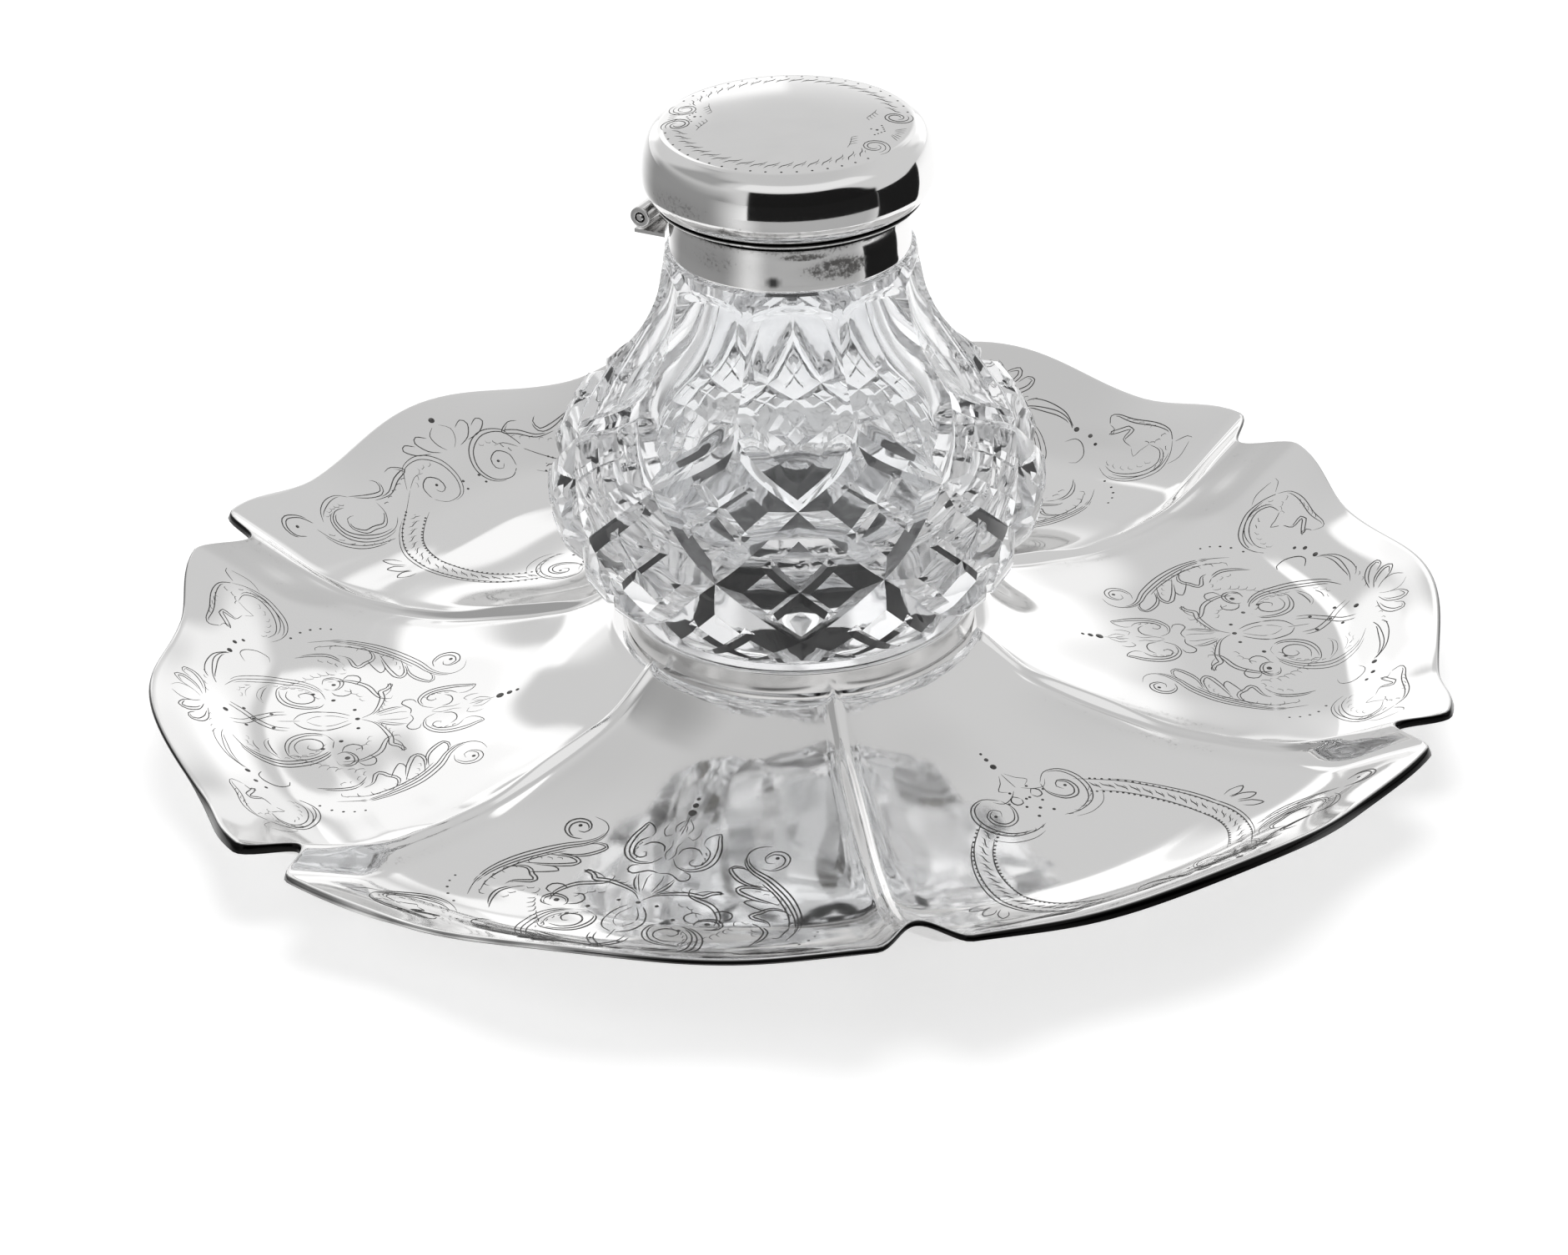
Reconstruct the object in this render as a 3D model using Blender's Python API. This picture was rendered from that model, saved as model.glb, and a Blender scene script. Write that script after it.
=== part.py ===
# Desk inkstand: a six-lobed silver dish, a cut-glass ink well standing in a ring at its centre,
# and a silver collar with a hinged lid on the well's neck. Metres, +Z up, Z = 0 on the table.
# An azimuth of 0 points to -Y, the side that the photograph was taken from, and grows towards +X.

from math import asin, atan2, cos, hypot, pi, radians, sin

import bmesh
import bpy
from mathutils import Matrix, Vector

# Gaps between touching pieces
seat_gap = 0.0003
bore_gap = 0.0003
neck_gap = 0.0004

# Dish: sheet, plan and heights of its upper face above the bowl's lowest line
dish_sheet = 0.0011
petal_count = 6
first_rib_azimuth = radians(9.0)
plateau_margin = 0.0005
rib_nose = 0.0017
petal_radius = 0.1222
notch_depth = 0.0075
shoulder_reach = 0.0008
hollow_depth = 0.0030
shoulder_angle = radians(3.8)
hollow_angle = radians(14.6)
plateau_rise = 0.0148
rib_head_rise = 0.0170
rib_floor_rise = 0.0021
notch_rise = 0.0125
shoulder_rise = 0.0130
hollow_rise = 0.0100
petal_rise = 0.0134
rib_half_width = 0.0017
rib_side_width = 0.0036
rim_bow = 0.0030
rim_bow_azimuth = radians(12.9)
rim_wave = 0.0013
rim_wave_azimuth = radians(20.1)
edge_power = 4
# Places along a petal from the plateau to the edge, and heights there, falling then rising
rib_fall_shares = ((0.0, 1.0), (0.17, 0.50), (0.32, 0.27), (0.46, 0.055), (0.60, 0.0))
rib_climb_shares = ((0.60, 0.0), (0.75, 0.13), (0.89, 0.57), (1.0, 1.0))
valley_fall_shares = ((0.0, 1.0), (0.11, 0.605), (0.23, 0.273), (0.36, 0.068), (0.50, -0.012), (0.64, 0.0))
valley_climb_shares = ((0.64, 0.0), (0.79, 0.19), (0.92, 0.72), (1.0, 1.0))
radial_step_shares = (0.0, 0.09, 0.2, 0.32, 0.45, 0.58, 0.7, 0.8, 0.88, 0.95, 1.0)
petal_step_shares = (0.05, 0.10, 0.17, 0.27, 0.40, 0.56, 0.77, 1.0)
fold_share = 0.62

# Foot ring under the bowl
foot_height = 0.0036
foot_radius = 0.0805
foot_width = 0.0026
foot_bevel = 0.0004

# Seat ring on the plateau
ring_radius = 0.0328
ring_wall = 0.0015
ring_height = 0.0043
ring_bevel = 0.0004

# Pad under the glass
pad_inset = 0.0096
pad_thickness = 0.0009

# Glass well: foot, globe and neck
foot_clearance = 0.0009
glass_foot_height = 0.0036
glass_foot_bevel = 0.0006
column_count = 9
globe_radius = 0.0462
globe_height = 0.0455
neck_height = 0.0245
neck_radius = 0.0228
neck_step = 0.0043
plug_height = 0.0070
globe_radius_shares = (0.868, 0.998, 0.905, 0.735)
globe_height_shares = (0.0, 0.170, 0.500, 0.815, 1.0)
neck_radius_shares = (1.245, 1.105, 1.045, 1.0)
neck_height_shares = (0.26, 0.52, 0.78, 1.0)
cut_depth = 0.0021
cut_half_share = 0.18
fine_cut_depth = 0.0008
fine_cut_half_share = 0.055
flute_depth = 0.0020
flute_wall_share = 0.5
flute_top_share = 0.93
flute_arch_share = 0.10
globe_wall = 0.0122
cavity_floor = 0.0150
plug_wall = 0.0050
cavity_radius_shares = (0.0, 0.588, 0.824, 0.970, 1.0, 0.853, 0.676, 0.5)
cavity_height_shares = (0.0, 0.018, 0.056, 0.148, 0.27, 0.407, 0.544, 0.666)
bore_bottom_share = 0.788

# Collar on the neck
band_wall = 0.0008
band_height = 0.0082
cement_space = 0.0028
band_height_shares = (0.0, 0.07, 0.22, 0.40, 0.75, 1.0)
band_radius_shares = (1.075, 1.085, 1.050, 1.005, 1.0, 1.032)
bezel_height = 0.0017
bezel_reach = 0.0031
bezel_foot_reach = 0.0008
bezel_lap = 0.0007
bezel_lip = 0.0005

# Lid: shell and inner bezel
lid_reach = 0.0008
lid_height = 0.0139
lid_wall = 0.0008
lid_radius_shares = (1.0, 1.008, 1.036, 1.052, 1.036, 0.98, 0.909, 0.73, 0.413, 0.0)
lid_height_shares = (0.0, 0.13, 0.30, 0.467, 0.626, 0.755, 0.892, 0.95, 0.986, 1.0)
flange_clearance = 0.0016
flange_wall = 0.0008
flange_depth = 0.0014
flange_rise = 0.0012
seat_plate = 0.0008

# Hinge: three tubes, pin, bearer plate and the lid's strap, at the lid's back left
hinge_azimuth = radians(-118.0)
hinge_reach = 0.0006
hinge_drop = 0.0034
tube_radius = 0.0020
tube_bore = 0.0010
outer_tube_length = 0.0069
middle_tube_length = 0.0070
pin_overhang = 0.0002
pin_bevel = 0.0002
plate_thickness = 0.0007
plate_reach = 0.0012
strap_outer = 0.0012
strap_inner = 0.0003
strap_root_share = 0.7

# Facets round a turned piece
fine_sides = 60
small_sides = 16
weld_distance = 0.000001
sharp_angle = radians(35.0)
facet_angle = radians(12.0)

# The edge's radii at a notch, at the shoulder beside it and at the hollow after that
notch_radius = petal_radius - notch_depth
shoulder_radius = petal_radius + shoulder_reach
hollow_radius = petal_radius - hollow_depth

# Radii worked out from the ring, the globe and the neck outwards
plateau_radius = ring_radius + plateau_margin
rib_head_radius = plateau_radius + rib_nose
glass_foot_radius = ring_radius - ring_wall - foot_clearance
pad_radius = glass_foot_radius - pad_inset
cavity_radius = globe_radius - globe_wall
plug_radius = neck_radius - neck_step
bore_radius = plug_radius - plug_wall
band_waist_radius = plug_radius + cement_space
bezel_radius = band_waist_radius + bezel_reach
bezel_foot_radius = band_waist_radius + bezel_foot_reach
bezel_inner_radius = band_waist_radius - bezel_lap
lid_edge_radius = bezel_radius + lid_reach
flange_radius = bezel_inner_radius - flange_clearance
hinge_radius = bezel_radius + hinge_reach

# Heights worked out from the pieces below
bowl_floor = foot_height + seat_gap + dish_sheet
plateau_height = bowl_floor + plateau_rise
ring_top = plateau_height + seat_gap + ring_height
pad_bottom = plateau_height + seat_gap
glass_base = pad_bottom + pad_thickness + seat_gap
globe_base = glass_base + glass_foot_height
globe_top = globe_base + globe_height
shoulder_height = globe_top + neck_height
plug_top = shoulder_height + plug_height
band_base = shoulder_height + seat_gap
band_top = band_base + band_height
bezel_base = band_top + seat_gap
bezel_top = bezel_base + bezel_height
lid_base = bezel_top + seat_gap
hinge_height = band_top - hinge_drop
cavity_base = glass_base + cavity_floor
cavity_height = plug_top - cavity_base


def clear_scene():
    for item in list(bpy.data.objects):
        bpy.data.objects.remove(item, do_unlink=True)


def make_material(name, colour, roughness, metallic, transmission=0.0):
    material = bpy.data.materials.new(name)
    material.use_nodes = True
    shader = material.node_tree.nodes["Principled BSDF"]
    shader.inputs["Base Color"].default_value = (*colour, 1.0)
    shader.inputs["Roughness"].default_value = roughness
    shader.inputs["Metallic"].default_value = metallic
    shader.inputs["Transmission Weight"].default_value = transmission
    return material


def polished_silver(name, tone=1.0):
    return make_material(name, (0.86 * tone, 0.85 * tone, 0.84 * tone), 0.08, 1.0)


def add_object(name, bm, material, parent=None, smooth=True, crease=sharp_angle):
    bmesh.ops.remove_doubles(bm, verts=bm.verts, dist=weld_distance)
    bmesh.ops.recalc_face_normals(bm, faces=bm.faces)
    mesh = bpy.data.meshes.new(name)
    bm.to_mesh(mesh)
    bm.free()
    if smooth:
        mesh.shade_smooth()
        mesh.set_sharp_from_angle(angle=crease)
    mesh.materials.append(material)
    part = bpy.data.objects.new(name, mesh)
    bpy.context.collection.objects.link(part)
    if parent is not None:
        part.parent = parent
        part.matrix_parent_inverse = parent.matrix_world.inverted()
    return part


def add_empty(name, place, heading=0.0, parent=None):
    empty = bpy.data.objects.new(name, None)
    bpy.context.collection.objects.link(empty)
    empty.location = place
    empty.rotation_euler = (0.0, 0.0, heading)
    bpy.context.view_layer.update()
    if parent is not None:
        empty.parent = parent
        empty.matrix_parent_inverse = parent.matrix_world.inverted()
        bpy.context.view_layer.update()
    return empty


def smooth_step(share):
    share = min(max(share, 0.0), 1.0)
    return share * share * (3.0 - 2.0 * share)


def read_curve(points, share):
    # A smooth curve through rising places, with slopes taken from the neighbours
    if share <= points[0][0]:
        return points[0][1]
    last = len(points) - 1
    for index in range(last):
        low, high = points[index], points[index + 1]
        if share <= high[0] or index == last - 1:
            before = points[max(index - 1, 0)]
            after = points[min(index + 2, last)]
            span = high[0] - low[0]
            slope_low = (high[1] - before[1]) / (high[0] - before[0]) * span
            slope_high = (after[1] - low[1]) / (after[0] - low[0]) * span
            u = min((share - low[0]) / span, 1.0)
            return (
                (2 * u**3 - 3 * u**2 + 1) * low[1]
                + (u**3 - 2 * u**2 + u) * slope_low
                + (3 * u**2 - 2 * u**3) * high[1]
                + (u**3 - u**2) * slope_high
            )
    return points[last][1]


def at_azimuth(azimuth, radius, height):
    return Vector((radius * sin(azimuth), -radius * cos(azimuth), height))


def ease(low, high, share):
    return low + (high - low) * (1.0 - cos(pi * min(max(share, 0.0), 1.0))) / 2.0


def spin_outline(outline, sides):
    # Turns an outline of radius and height pairs: a closed loop, or a chain from axis to axis
    bm = bmesh.new()
    corners = [bm.verts.new((radius, 0.0, height)) for radius, height in outline]
    edges = [bm.edges.new(pair) for pair in zip(corners, corners[1:])]
    if outline[0][0] > 0.0:
        edges.append(bm.edges.new((corners[-1], corners[0])))
    bmesh.ops.spin(
        bm,
        geom=corners + edges,
        cent=(0.0, 0.0, 0.0),
        axis=(0.0, 0.0, 1.0),
        angle=2.0 * pi,
        steps=sides,
        use_merge=True,
    )
    bmesh.ops.remove_doubles(bm, verts=bm.verts, dist=weld_distance)
    flat = [face for face in bm.faces if face.calc_area() < weld_distance**2]
    bmesh.ops.delete(bm, geom=flat, context="FACES")
    return bm


def ring_outline(outer, inner, bottom, top, bevel):
    return [
        (outer, bottom + bevel),
        (outer, top - bevel),
        (outer - bevel, top),
        (inner + bevel, top),
        (inner, top - bevel),
        (inner, bottom + bevel),
        (inner + bevel, bottom),
        (outer - bevel, bottom),
    ]


# Dish


def petal_edge(angle):
    # Radius and height of a petal's edge at an angle from the nearest notch
    middle_angle = pi / petal_count
    if angle < shoulder_angle:
        share = angle / shoulder_angle
        return ease(notch_radius, shoulder_radius, share), ease(notch_rise, shoulder_rise, share)
    if angle < hollow_angle:
        share = (angle - shoulder_angle) / (hollow_angle - shoulder_angle)
        return ease(shoulder_radius, hollow_radius, share), ease(shoulder_rise, hollow_rise, share)
    share = (angle - hollow_angle) / (middle_angle - hollow_angle)
    return ease(hollow_radius, petal_radius, share), ease(hollow_rise, petal_rise, share)


def line_rise(fall, climb, start, floor, end, share):
    if share < fall[-1][0]:
        return floor + (start - floor) * read_curve(fall, share)
    return floor + (end - floor) * read_curve(climb, share)


def dish_point(azimuth, angle, share):
    # The upper face at a share of the way from the plateau to the edge, angle from the nearest rib
    edge_radius, edge_rise = petal_edge(angle)
    radius = rib_head_radius + (edge_radius - rib_head_radius) * share
    across = radius * sin(angle)
    middle_share = angle / (pi / petal_count)
    rib = line_rise(rib_fall_shares, rib_climb_shares, rib_head_rise, rib_floor_rise, notch_rise, share)
    valley = line_rise(valley_fall_shares, valley_climb_shares, plateau_rise, 0.0, petal_rise, share)
    bead = smooth_step(1.0 - across / rib_half_width)
    lift = fold_share * (1.0 - middle_share) ** 3 + (1.0 - fold_share) * bead
    rise = valley + (rib - valley) * lift
    plain_edge = petal_rise + (notch_rise - petal_rise) * lift
    rise += (edge_rise - plain_edge) * share**edge_power
    # The sheet is bent outside the foot ring only: up at the front and back, down at the sides
    bend = smooth_step((radius - foot_radius) / (petal_radius - foot_radius))
    bow = rim_bow * cos(2.0 * (azimuth - rim_bow_azimuth))
    wave = rim_wave * cos(3.0 * (azimuth - rim_wave_azimuth))
    return at_azimuth(azimuth, radius, bowl_floor + rise + bend * (bow + wave))


def petal_angles(share):
    # Angles from a rib to the petal's middle: the rib's own width first, then closest at the shoulder
    radius = rib_head_radius + (notch_radius - rib_head_radius) * share
    near = [0.0, asin(rib_half_width / 2.0 / radius), asin(rib_half_width / radius)]
    near.append(asin(rib_side_width / radius))
    rest = pi / petal_count - near[-1]
    return near + [near[-1] + rest * step for step in petal_step_shares]


def dish_ring(bm, share):
    half = petal_angles(share)
    ring = []
    for petal in range(petal_count):
        start = first_rib_azimuth + 2.0 * pi * petal / petal_count
        for angle in half[:-1]:
            ring.append(bm.verts.new(dish_point(start + angle, angle, share)))
        for angle in reversed(half[1:]):
            ring.append(bm.verts.new(dish_point(start + 2.0 * pi / petal_count - angle, angle, share)))
    return ring


def plateau_ring(bm, like, radius):
    ring = []
    for corner in like:
        azimuth = atan2(corner.co.x, -corner.co.y)
        ring.append(bm.verts.new(at_azimuth(azimuth, radius, plateau_height)))
    return ring


def bridge_rings(bm, inner, outer):
    count = len(inner)
    for index in range(count):
        after = (index + 1) % count
        bm.faces.new((inner[index], outer[index], outer[after], inner[after]))


def build_dish(material):
    bm = bmesh.new()
    rings = [dish_ring(bm, share) for share in radial_step_shares]
    rings.insert(0, plateau_ring(bm, rings[0], plateau_radius))
    for inner, outer in zip(rings, rings[1:]):
        bridge_rings(bm, inner, outer)
    centre = bm.verts.new((0.0, 0.0, plateau_height))
    for index in range(len(rings[0])):
        bm.faces.new((centre, rings[0][index], rings[0][(index + 1) % len(rings[0])]))
    dish = add_object("dish", bm, material)
    if dish.data.polygons[0].normal.z < 0.0:
        dish.data.flip_normals()
    wall = dish.modifiers.new("sheet", "SOLIDIFY")
    wall.thickness = dish_sheet
    wall.offset = -1.0
    wall.use_rim = True
    return dish


def dish_height(azimuth, angle, radius):
    edge_radius = petal_edge(angle)[0]
    share = (radius - rib_head_radius) / (edge_radius - rib_head_radius)
    return dish_point(azimuth, angle, share).z


def foot_ring_top():
    # The ring reaches up to the lowest place of the dish's underside above it
    heights = []
    for radius in (foot_radius - foot_width / 2.0, foot_radius, foot_radius + foot_width / 2.0):
        share = (radius - rib_head_radius) / (petal_radius - rib_head_radius)
        for petal in range(petal_count):
            start = first_rib_azimuth + 2.0 * pi * petal / petal_count
            for angle in petal_angles(share):
                heights.append(dish_height(start + angle, angle, radius))
                heights.append(dish_height(start - angle, angle, radius))
    return min(heights) - dish_sheet - seat_gap


def build_foot_ring(material):
    outer = foot_radius + foot_width / 2.0
    inner = foot_radius - foot_width / 2.0
    outline = ring_outline(outer, inner, 0.0, foot_ring_top(), foot_bevel)
    return add_object("foot_ring", spin_outline(outline, fine_sides), material)


def build_seat_ring(material):
    outline = ring_outline(
        ring_radius, ring_radius - ring_wall, plateau_height + seat_gap, ring_top, ring_bevel
    )
    return add_object("seat_ring", spin_outline(outline, fine_sides), material)


def build_seat_pad(material):
    top = pad_bottom + pad_thickness
    outline = [(0.0, pad_bottom), (pad_radius, pad_bottom), (pad_radius, top), (0.0, top)]
    return add_object("seat_pad", spin_outline(outline, fine_sides), material)


# Glass well. Rows count the crossings of the mitre cuts, from -1 at the foot to 3 at the shoulder;
# past 3 they follow the neck. Columns are half a diamond wide.


def glass_profile(row):
    radii = [(-1.0, glass_foot_radius)]
    radii += [(float(index), globe_radius * share) for index, share in enumerate(globe_radius_shares)]
    heights = [
        (-1.0 + index, globe_base + globe_height * share) for index, share in enumerate(globe_height_shares)
    ]
    for step, (wide, high) in enumerate(zip(neck_radius_shares, neck_height_shares)):
        place = 3.0 + (step + 1.0) / 2.0
        radii.append((place, neck_radius * wide))
        heights.append((place, globe_top + neck_height * high))
    return read_curve(radii, row), read_curve(heights, row)


def glass_point(azimuth, row, depth):
    radius, height = glass_profile(row)
    step = 0.01
    wide, high = glass_profile(row + step)
    thin, low = glass_profile(row - step)
    along = Vector((wide - thin, high - low)).normalized()
    return at_azimuth(azimuth, radius - depth * along.y, height + depth * along.x)


def cut_run_out(row):
    return smooth_step((row + 1.0) / 0.35)


def lattice_lines(low, high):
    fine_marks = (0.5 - fine_cut_half_share, 0.5, 0.5 + fine_cut_half_share)
    marks = (0.0, cut_half_share, *fine_marks, 1.0 - cut_half_share)
    return [whole + mark for whole in range(low, high) for mark in marks] + [float(high)]


def depth_at(place):
    # Depth of the cut that runs through a grid line: whole places are mitre cuts, halves fine ones
    if abs(place - round(place)) < weld_distance:
        return cut_depth
    if abs(place + 0.5 - round(place + 0.5)) < weld_distance:
        return fine_cut_depth
    return 0.0


def lattice_point(across, along):
    row = across + along
    azimuth = (across - along) * pi / column_count
    return glass_point(azimuth, row, max(depth_at(across), depth_at(along)) * cut_run_out(row))


def add_triangle(bm, *corners):
    bm.faces.new([bm.verts.new(corner) for corner in corners])


def add_diamond(bm, left, low, foot_row):
    # One diamond of the cutting, split along the creases that its four cuts make
    lines_a = lattice_lines(left, left + 1)
    lines_b = lattice_lines(low, low + 1)
    for a0, a1 in zip(lines_a, lines_a[1:]):
        for b0, b1 in zip(lines_b, lines_b[1:]):
            if a1 + b1 < foot_row + weld_distance:
                continue
            corners = [(a0, b0), (a1, b0), (a1, b1), (a0, b1)]
            points = [lattice_point(*corner) for corner in corners]
            same_side = ((a0 + a1) / 2.0 - left < 0.5) == ((b0 + b1) / 2.0 - low < 0.5)
            if a0 + b0 < foot_row - weld_distance:
                add_triangle(bm, points[1], points[2], points[3])
            elif same_side:
                add_triangle(bm, points[0], points[1], points[2])
                add_triangle(bm, points[0], points[2], points[3])
            else:
                add_triangle(bm, points[0], points[1], points[3])
                add_triangle(bm, points[1], points[2], points[3])


def flute_rows(across):
    # Rows of a flute from the zigzag of the top cuts to the neck's shoulder
    start = 2.0 + abs(across)
    wall = start + 2.0 * cut_half_share * flute_wall_share
    end = 3.0 + len(neck_radius_shares) / 2.0
    shares = (0.0, 0.17, 0.35, 0.54, 0.74, 0.88, 1.0)
    return [start] + [wall + (end - wall) * share for share in shares]


def flute_point(middle, across, row, first):
    azimuth = middle + across * pi / column_count
    if first:
        return glass_point(azimuth, row, cut_depth)
    end = 3.0 + len(neck_radius_shares) / 2.0
    top = 3.0 + (end - 3.0) * (flute_top_share - flute_arch_share * across**2)
    run_in = smooth_step((row - 2.0 - abs(across)) / 0.6)
    run_out = smooth_step((top - row) / 0.35)
    depth = flute_depth * (1.0 - across**2) * run_in * run_out
    return glass_point(azimuth, row, depth)


def flute_lines():
    marks = lattice_lines(0, 1)
    return [-mark for mark in reversed(marks[1:])] + marks


def add_flute(bm, middle):
    lines = flute_lines()
    for left, right in zip(lines, lines[1:]):
        rows_left, rows_right = flute_rows(left), flute_rows(right)
        for index in range(len(rows_left) - 1):
            first = index == 0
            points = [
                flute_point(middle, left, rows_left[index], first),
                flute_point(middle, right, rows_right[index], first),
                flute_point(middle, right, rows_right[index + 1], False),
                flute_point(middle, left, rows_left[index + 1], False),
            ]
            add_triangle(bm, points[0], points[1], points[2])
            add_triangle(bm, points[0], points[2], points[3])


def rim_azimuths(row):
    if row < 0.0:
        marks = lattice_lines(0, column_count)[:-1]
        return [(2.0 * mark + 1.0) * pi / column_count for mark in marks]
    lines = flute_lines()[:-1]
    return [
        (2.0 * column + mark) * pi / column_count for column in range(column_count) for mark in lines
    ]


def halve_ring(bm, fine, radius, height):
    # A ring of half as many corners, evenly spaced, joined to a finer one
    count = len(fine) // 2
    start = atan2(fine[0].co.x, -fine[0].co.y)
    even = [bm.verts.new(at_azimuth(start + 2.0 * pi * k / count, radius, height)) for k in range(count)]
    for index in range(count):
        near, between, far = (fine[(2 * index + step) % len(fine)] for step in range(3))
        after = even[(index + 1) % count]
        bm.faces.new((even[index], near, between))
        bm.faces.new((even[index], between, after))
        bm.faces.new((after, between, far))
    return even


def stack_rings(bm, azimuths, outline):
    rings = []
    for radius, height in outline:
        if radius > 0.0:
            rings.append([bm.verts.new(at_azimuth(azimuth, radius, height)) for azimuth in azimuths])
        else:
            rings.append([bm.verts.new((0.0, 0.0, height))])
    for lower, upper in zip(rings, rings[1:]):
        count = len(azimuths)
        for index in range(count):
            after = (index + 1) % count
            if len(upper) == 1:
                bm.faces.new((lower[index], lower[after], upper[0]))
            else:
                bm.faces.new((lower[index], lower[after], upper[after], upper[index]))


def build_glass_well(material, parent):
    bm = bmesh.new()
    for column in range(column_count):
        for level in (1, 0, -1, -2):
            add_diamond(bm, column, level - column, -1.0)
        add_flute(bm, 2.0 * column * pi / column_count)
    foot_outline = [
        (glass_foot_radius, globe_base),
        (glass_foot_radius, glass_base + glass_foot_bevel),
        (glass_foot_radius - glass_foot_bevel, glass_base),
        (0.0, glass_base),
    ]
    stack_rings(bm, rim_azimuths(-1.0), foot_outline)
    cavity = [
        (cavity_radius * wide, cavity_base + cavity_height * high)
        for wide, high in zip(cavity_radius_shares, cavity_height_shares)
    ]
    shoulder = [bm.verts.new(at_azimuth(turn, neck_radius, shoulder_height)) for turn in rim_azimuths(3.0)]
    even = halve_ring(bm, shoulder, plug_radius, shoulder_height)
    neck_outline = [
        (plug_radius, shoulder_height),
        (plug_radius, plug_top),
        (bore_radius, plug_top),
        (bore_radius, cavity_base + cavity_height * bore_bottom_share),
    ]
    even_azimuths = [atan2(corner.co.x, -corner.co.y) for corner in even]
    stack_rings(bm, even_azimuths, neck_outline + cavity[::-1])
    return add_object("glass_well", bm, material, parent, crease=facet_angle)


# Collar and lid


def build_neck_cement(material, parent):
    bottom = shoulder_height + seat_gap
    top = plug_top - seat_gap
    outer = band_waist_radius - band_wall - neck_gap
    inner = plug_radius + neck_gap
    outline = [(outer, bottom), (outer, top), (inner, top), (inner, bottom)]
    return add_object("neck_cement", spin_outline(outline, fine_sides), material, parent)


def band_radius(height):
    shares = list(zip(band_height_shares, band_radius_shares))
    return band_waist_radius * read_curve(shares, (height - band_base) / band_height)


def build_collar_band(material, parent):
    heights = [band_base + band_height * share for share in band_height_shares]
    outline = [(band_radius(height), height) for height in heights]
    outline += [(band_waist_radius - band_wall, band_top), (band_waist_radius - band_wall, band_base)]
    return add_object("collar_band", spin_outline(outline, fine_sides), material, parent)


def build_collar_bezel(material, parent):
    flare = bezel_radius - bezel_foot_radius
    outline = [
        (bezel_foot_radius, bezel_base),
        (bezel_foot_radius + flare / 4.0, bezel_base + (bezel_height - bezel_lip) / 2.0),
        (bezel_radius, bezel_top - bezel_lip),
        (bezel_radius, bezel_top),
        (bezel_inner_radius, bezel_top),
        (bezel_inner_radius, bezel_base),
    ]
    return add_object("collar_bezel", spin_outline(outline, fine_sides), material, parent)


def lid_outline():
    return [
        (lid_edge_radius * wide, lid_base + lid_height * high)
        for wide, high in zip(lid_radius_shares, lid_height_shares)
    ]


def inset_outline(outline, wall):
    # The same line one wall further in, measured square to it
    inner = []
    last = len(outline) - 1
    for index, (radius, height) in enumerate(outline):
        before, after = outline[max(index - 1, 0)], outline[min(index + 1, last)]
        run, climb = after[0] - before[0], after[1] - before[1]
        length = hypot(run, climb)
        inner.append((max(radius - wall * climb / length, 0.0), height + wall * run / length))
    inner[0] = (outline[0][0] - wall, outline[0][1])
    inner[-1] = (0.0, outline[-1][1] - wall)
    return inner


def build_lid_shell(material, parent):
    outer = lid_outline()
    inner = inset_outline(outer, lid_wall)
    outline = inner[::-1] + outer
    return add_object("lid_shell", spin_outline(outline, fine_sides), material, parent)


def build_lid_bezel(material, parent):
    outer = lid_edge_radius - lid_wall - neck_gap
    inner = flange_radius - flange_wall
    bottom = lid_base - flange_depth
    outline = [
        (outer, lid_base),
        (outer, lid_base + seat_plate),
        (flange_radius, lid_base + seat_plate),
        (flange_radius, lid_base + seat_plate + flange_rise),
        (inner, lid_base + seat_plate + flange_rise),
        (inner, bottom),
        (flange_radius, bottom),
        (flange_radius, lid_base),
    ]
    return add_object("lid_bezel", spin_outline(outline, fine_sides), material, parent)


# Hinge. Its own frame has X along the pin, Y inwards to the lid's centre and Z up.


def hinge_frame():
    along = Vector((cos(hinge_azimuth), sin(hinge_azimuth), 0.0))
    place = at_azimuth(hinge_azimuth, hinge_radius, hinge_height)
    return Matrix.Translation(place) @ Matrix.Rotation(atan2(along.y, along.x), 4, "Z")


def tube_mesh(low, high, outer, inner):
    outline = [(outer, low), (outer, high), (inner, high), (inner, low)]
    bm = spin_outline(outline, small_sides)
    bm.transform(Matrix.Rotation(pi / 2.0, 4, "Y"))
    return bm


def box_mesh(low, high):
    bm = bmesh.new()
    bmesh.ops.create_cube(bm, size=1.0)
    size = Vector(high) - Vector(low)
    centre = (Vector(high) + Vector(low)) / 2.0
    bm.transform(Matrix.Translation(centre) @ Matrix.Diagonal((*size, 1.0)))
    return bm


def cut_away(part, cutter_bm, operation="DIFFERENCE"):
    cutter = add_object(part.name + "_cutter", cutter_bm, part.data.materials[0], part.parent, smooth=False)
    cutter.hide_render = True
    cutter.display_type = "WIRE"
    change = part.modifiers.new(operation.lower(), "BOOLEAN")
    change.operation = operation
    change.solver = "EXACT"
    change.object = cutter
    return cutter


def build_tube(name, low, high, material, parent):
    bm = tube_mesh(low, high, tube_radius, tube_bore)
    bm.transform(hinge_frame())
    return add_object(name, bm, material, parent)


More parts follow.
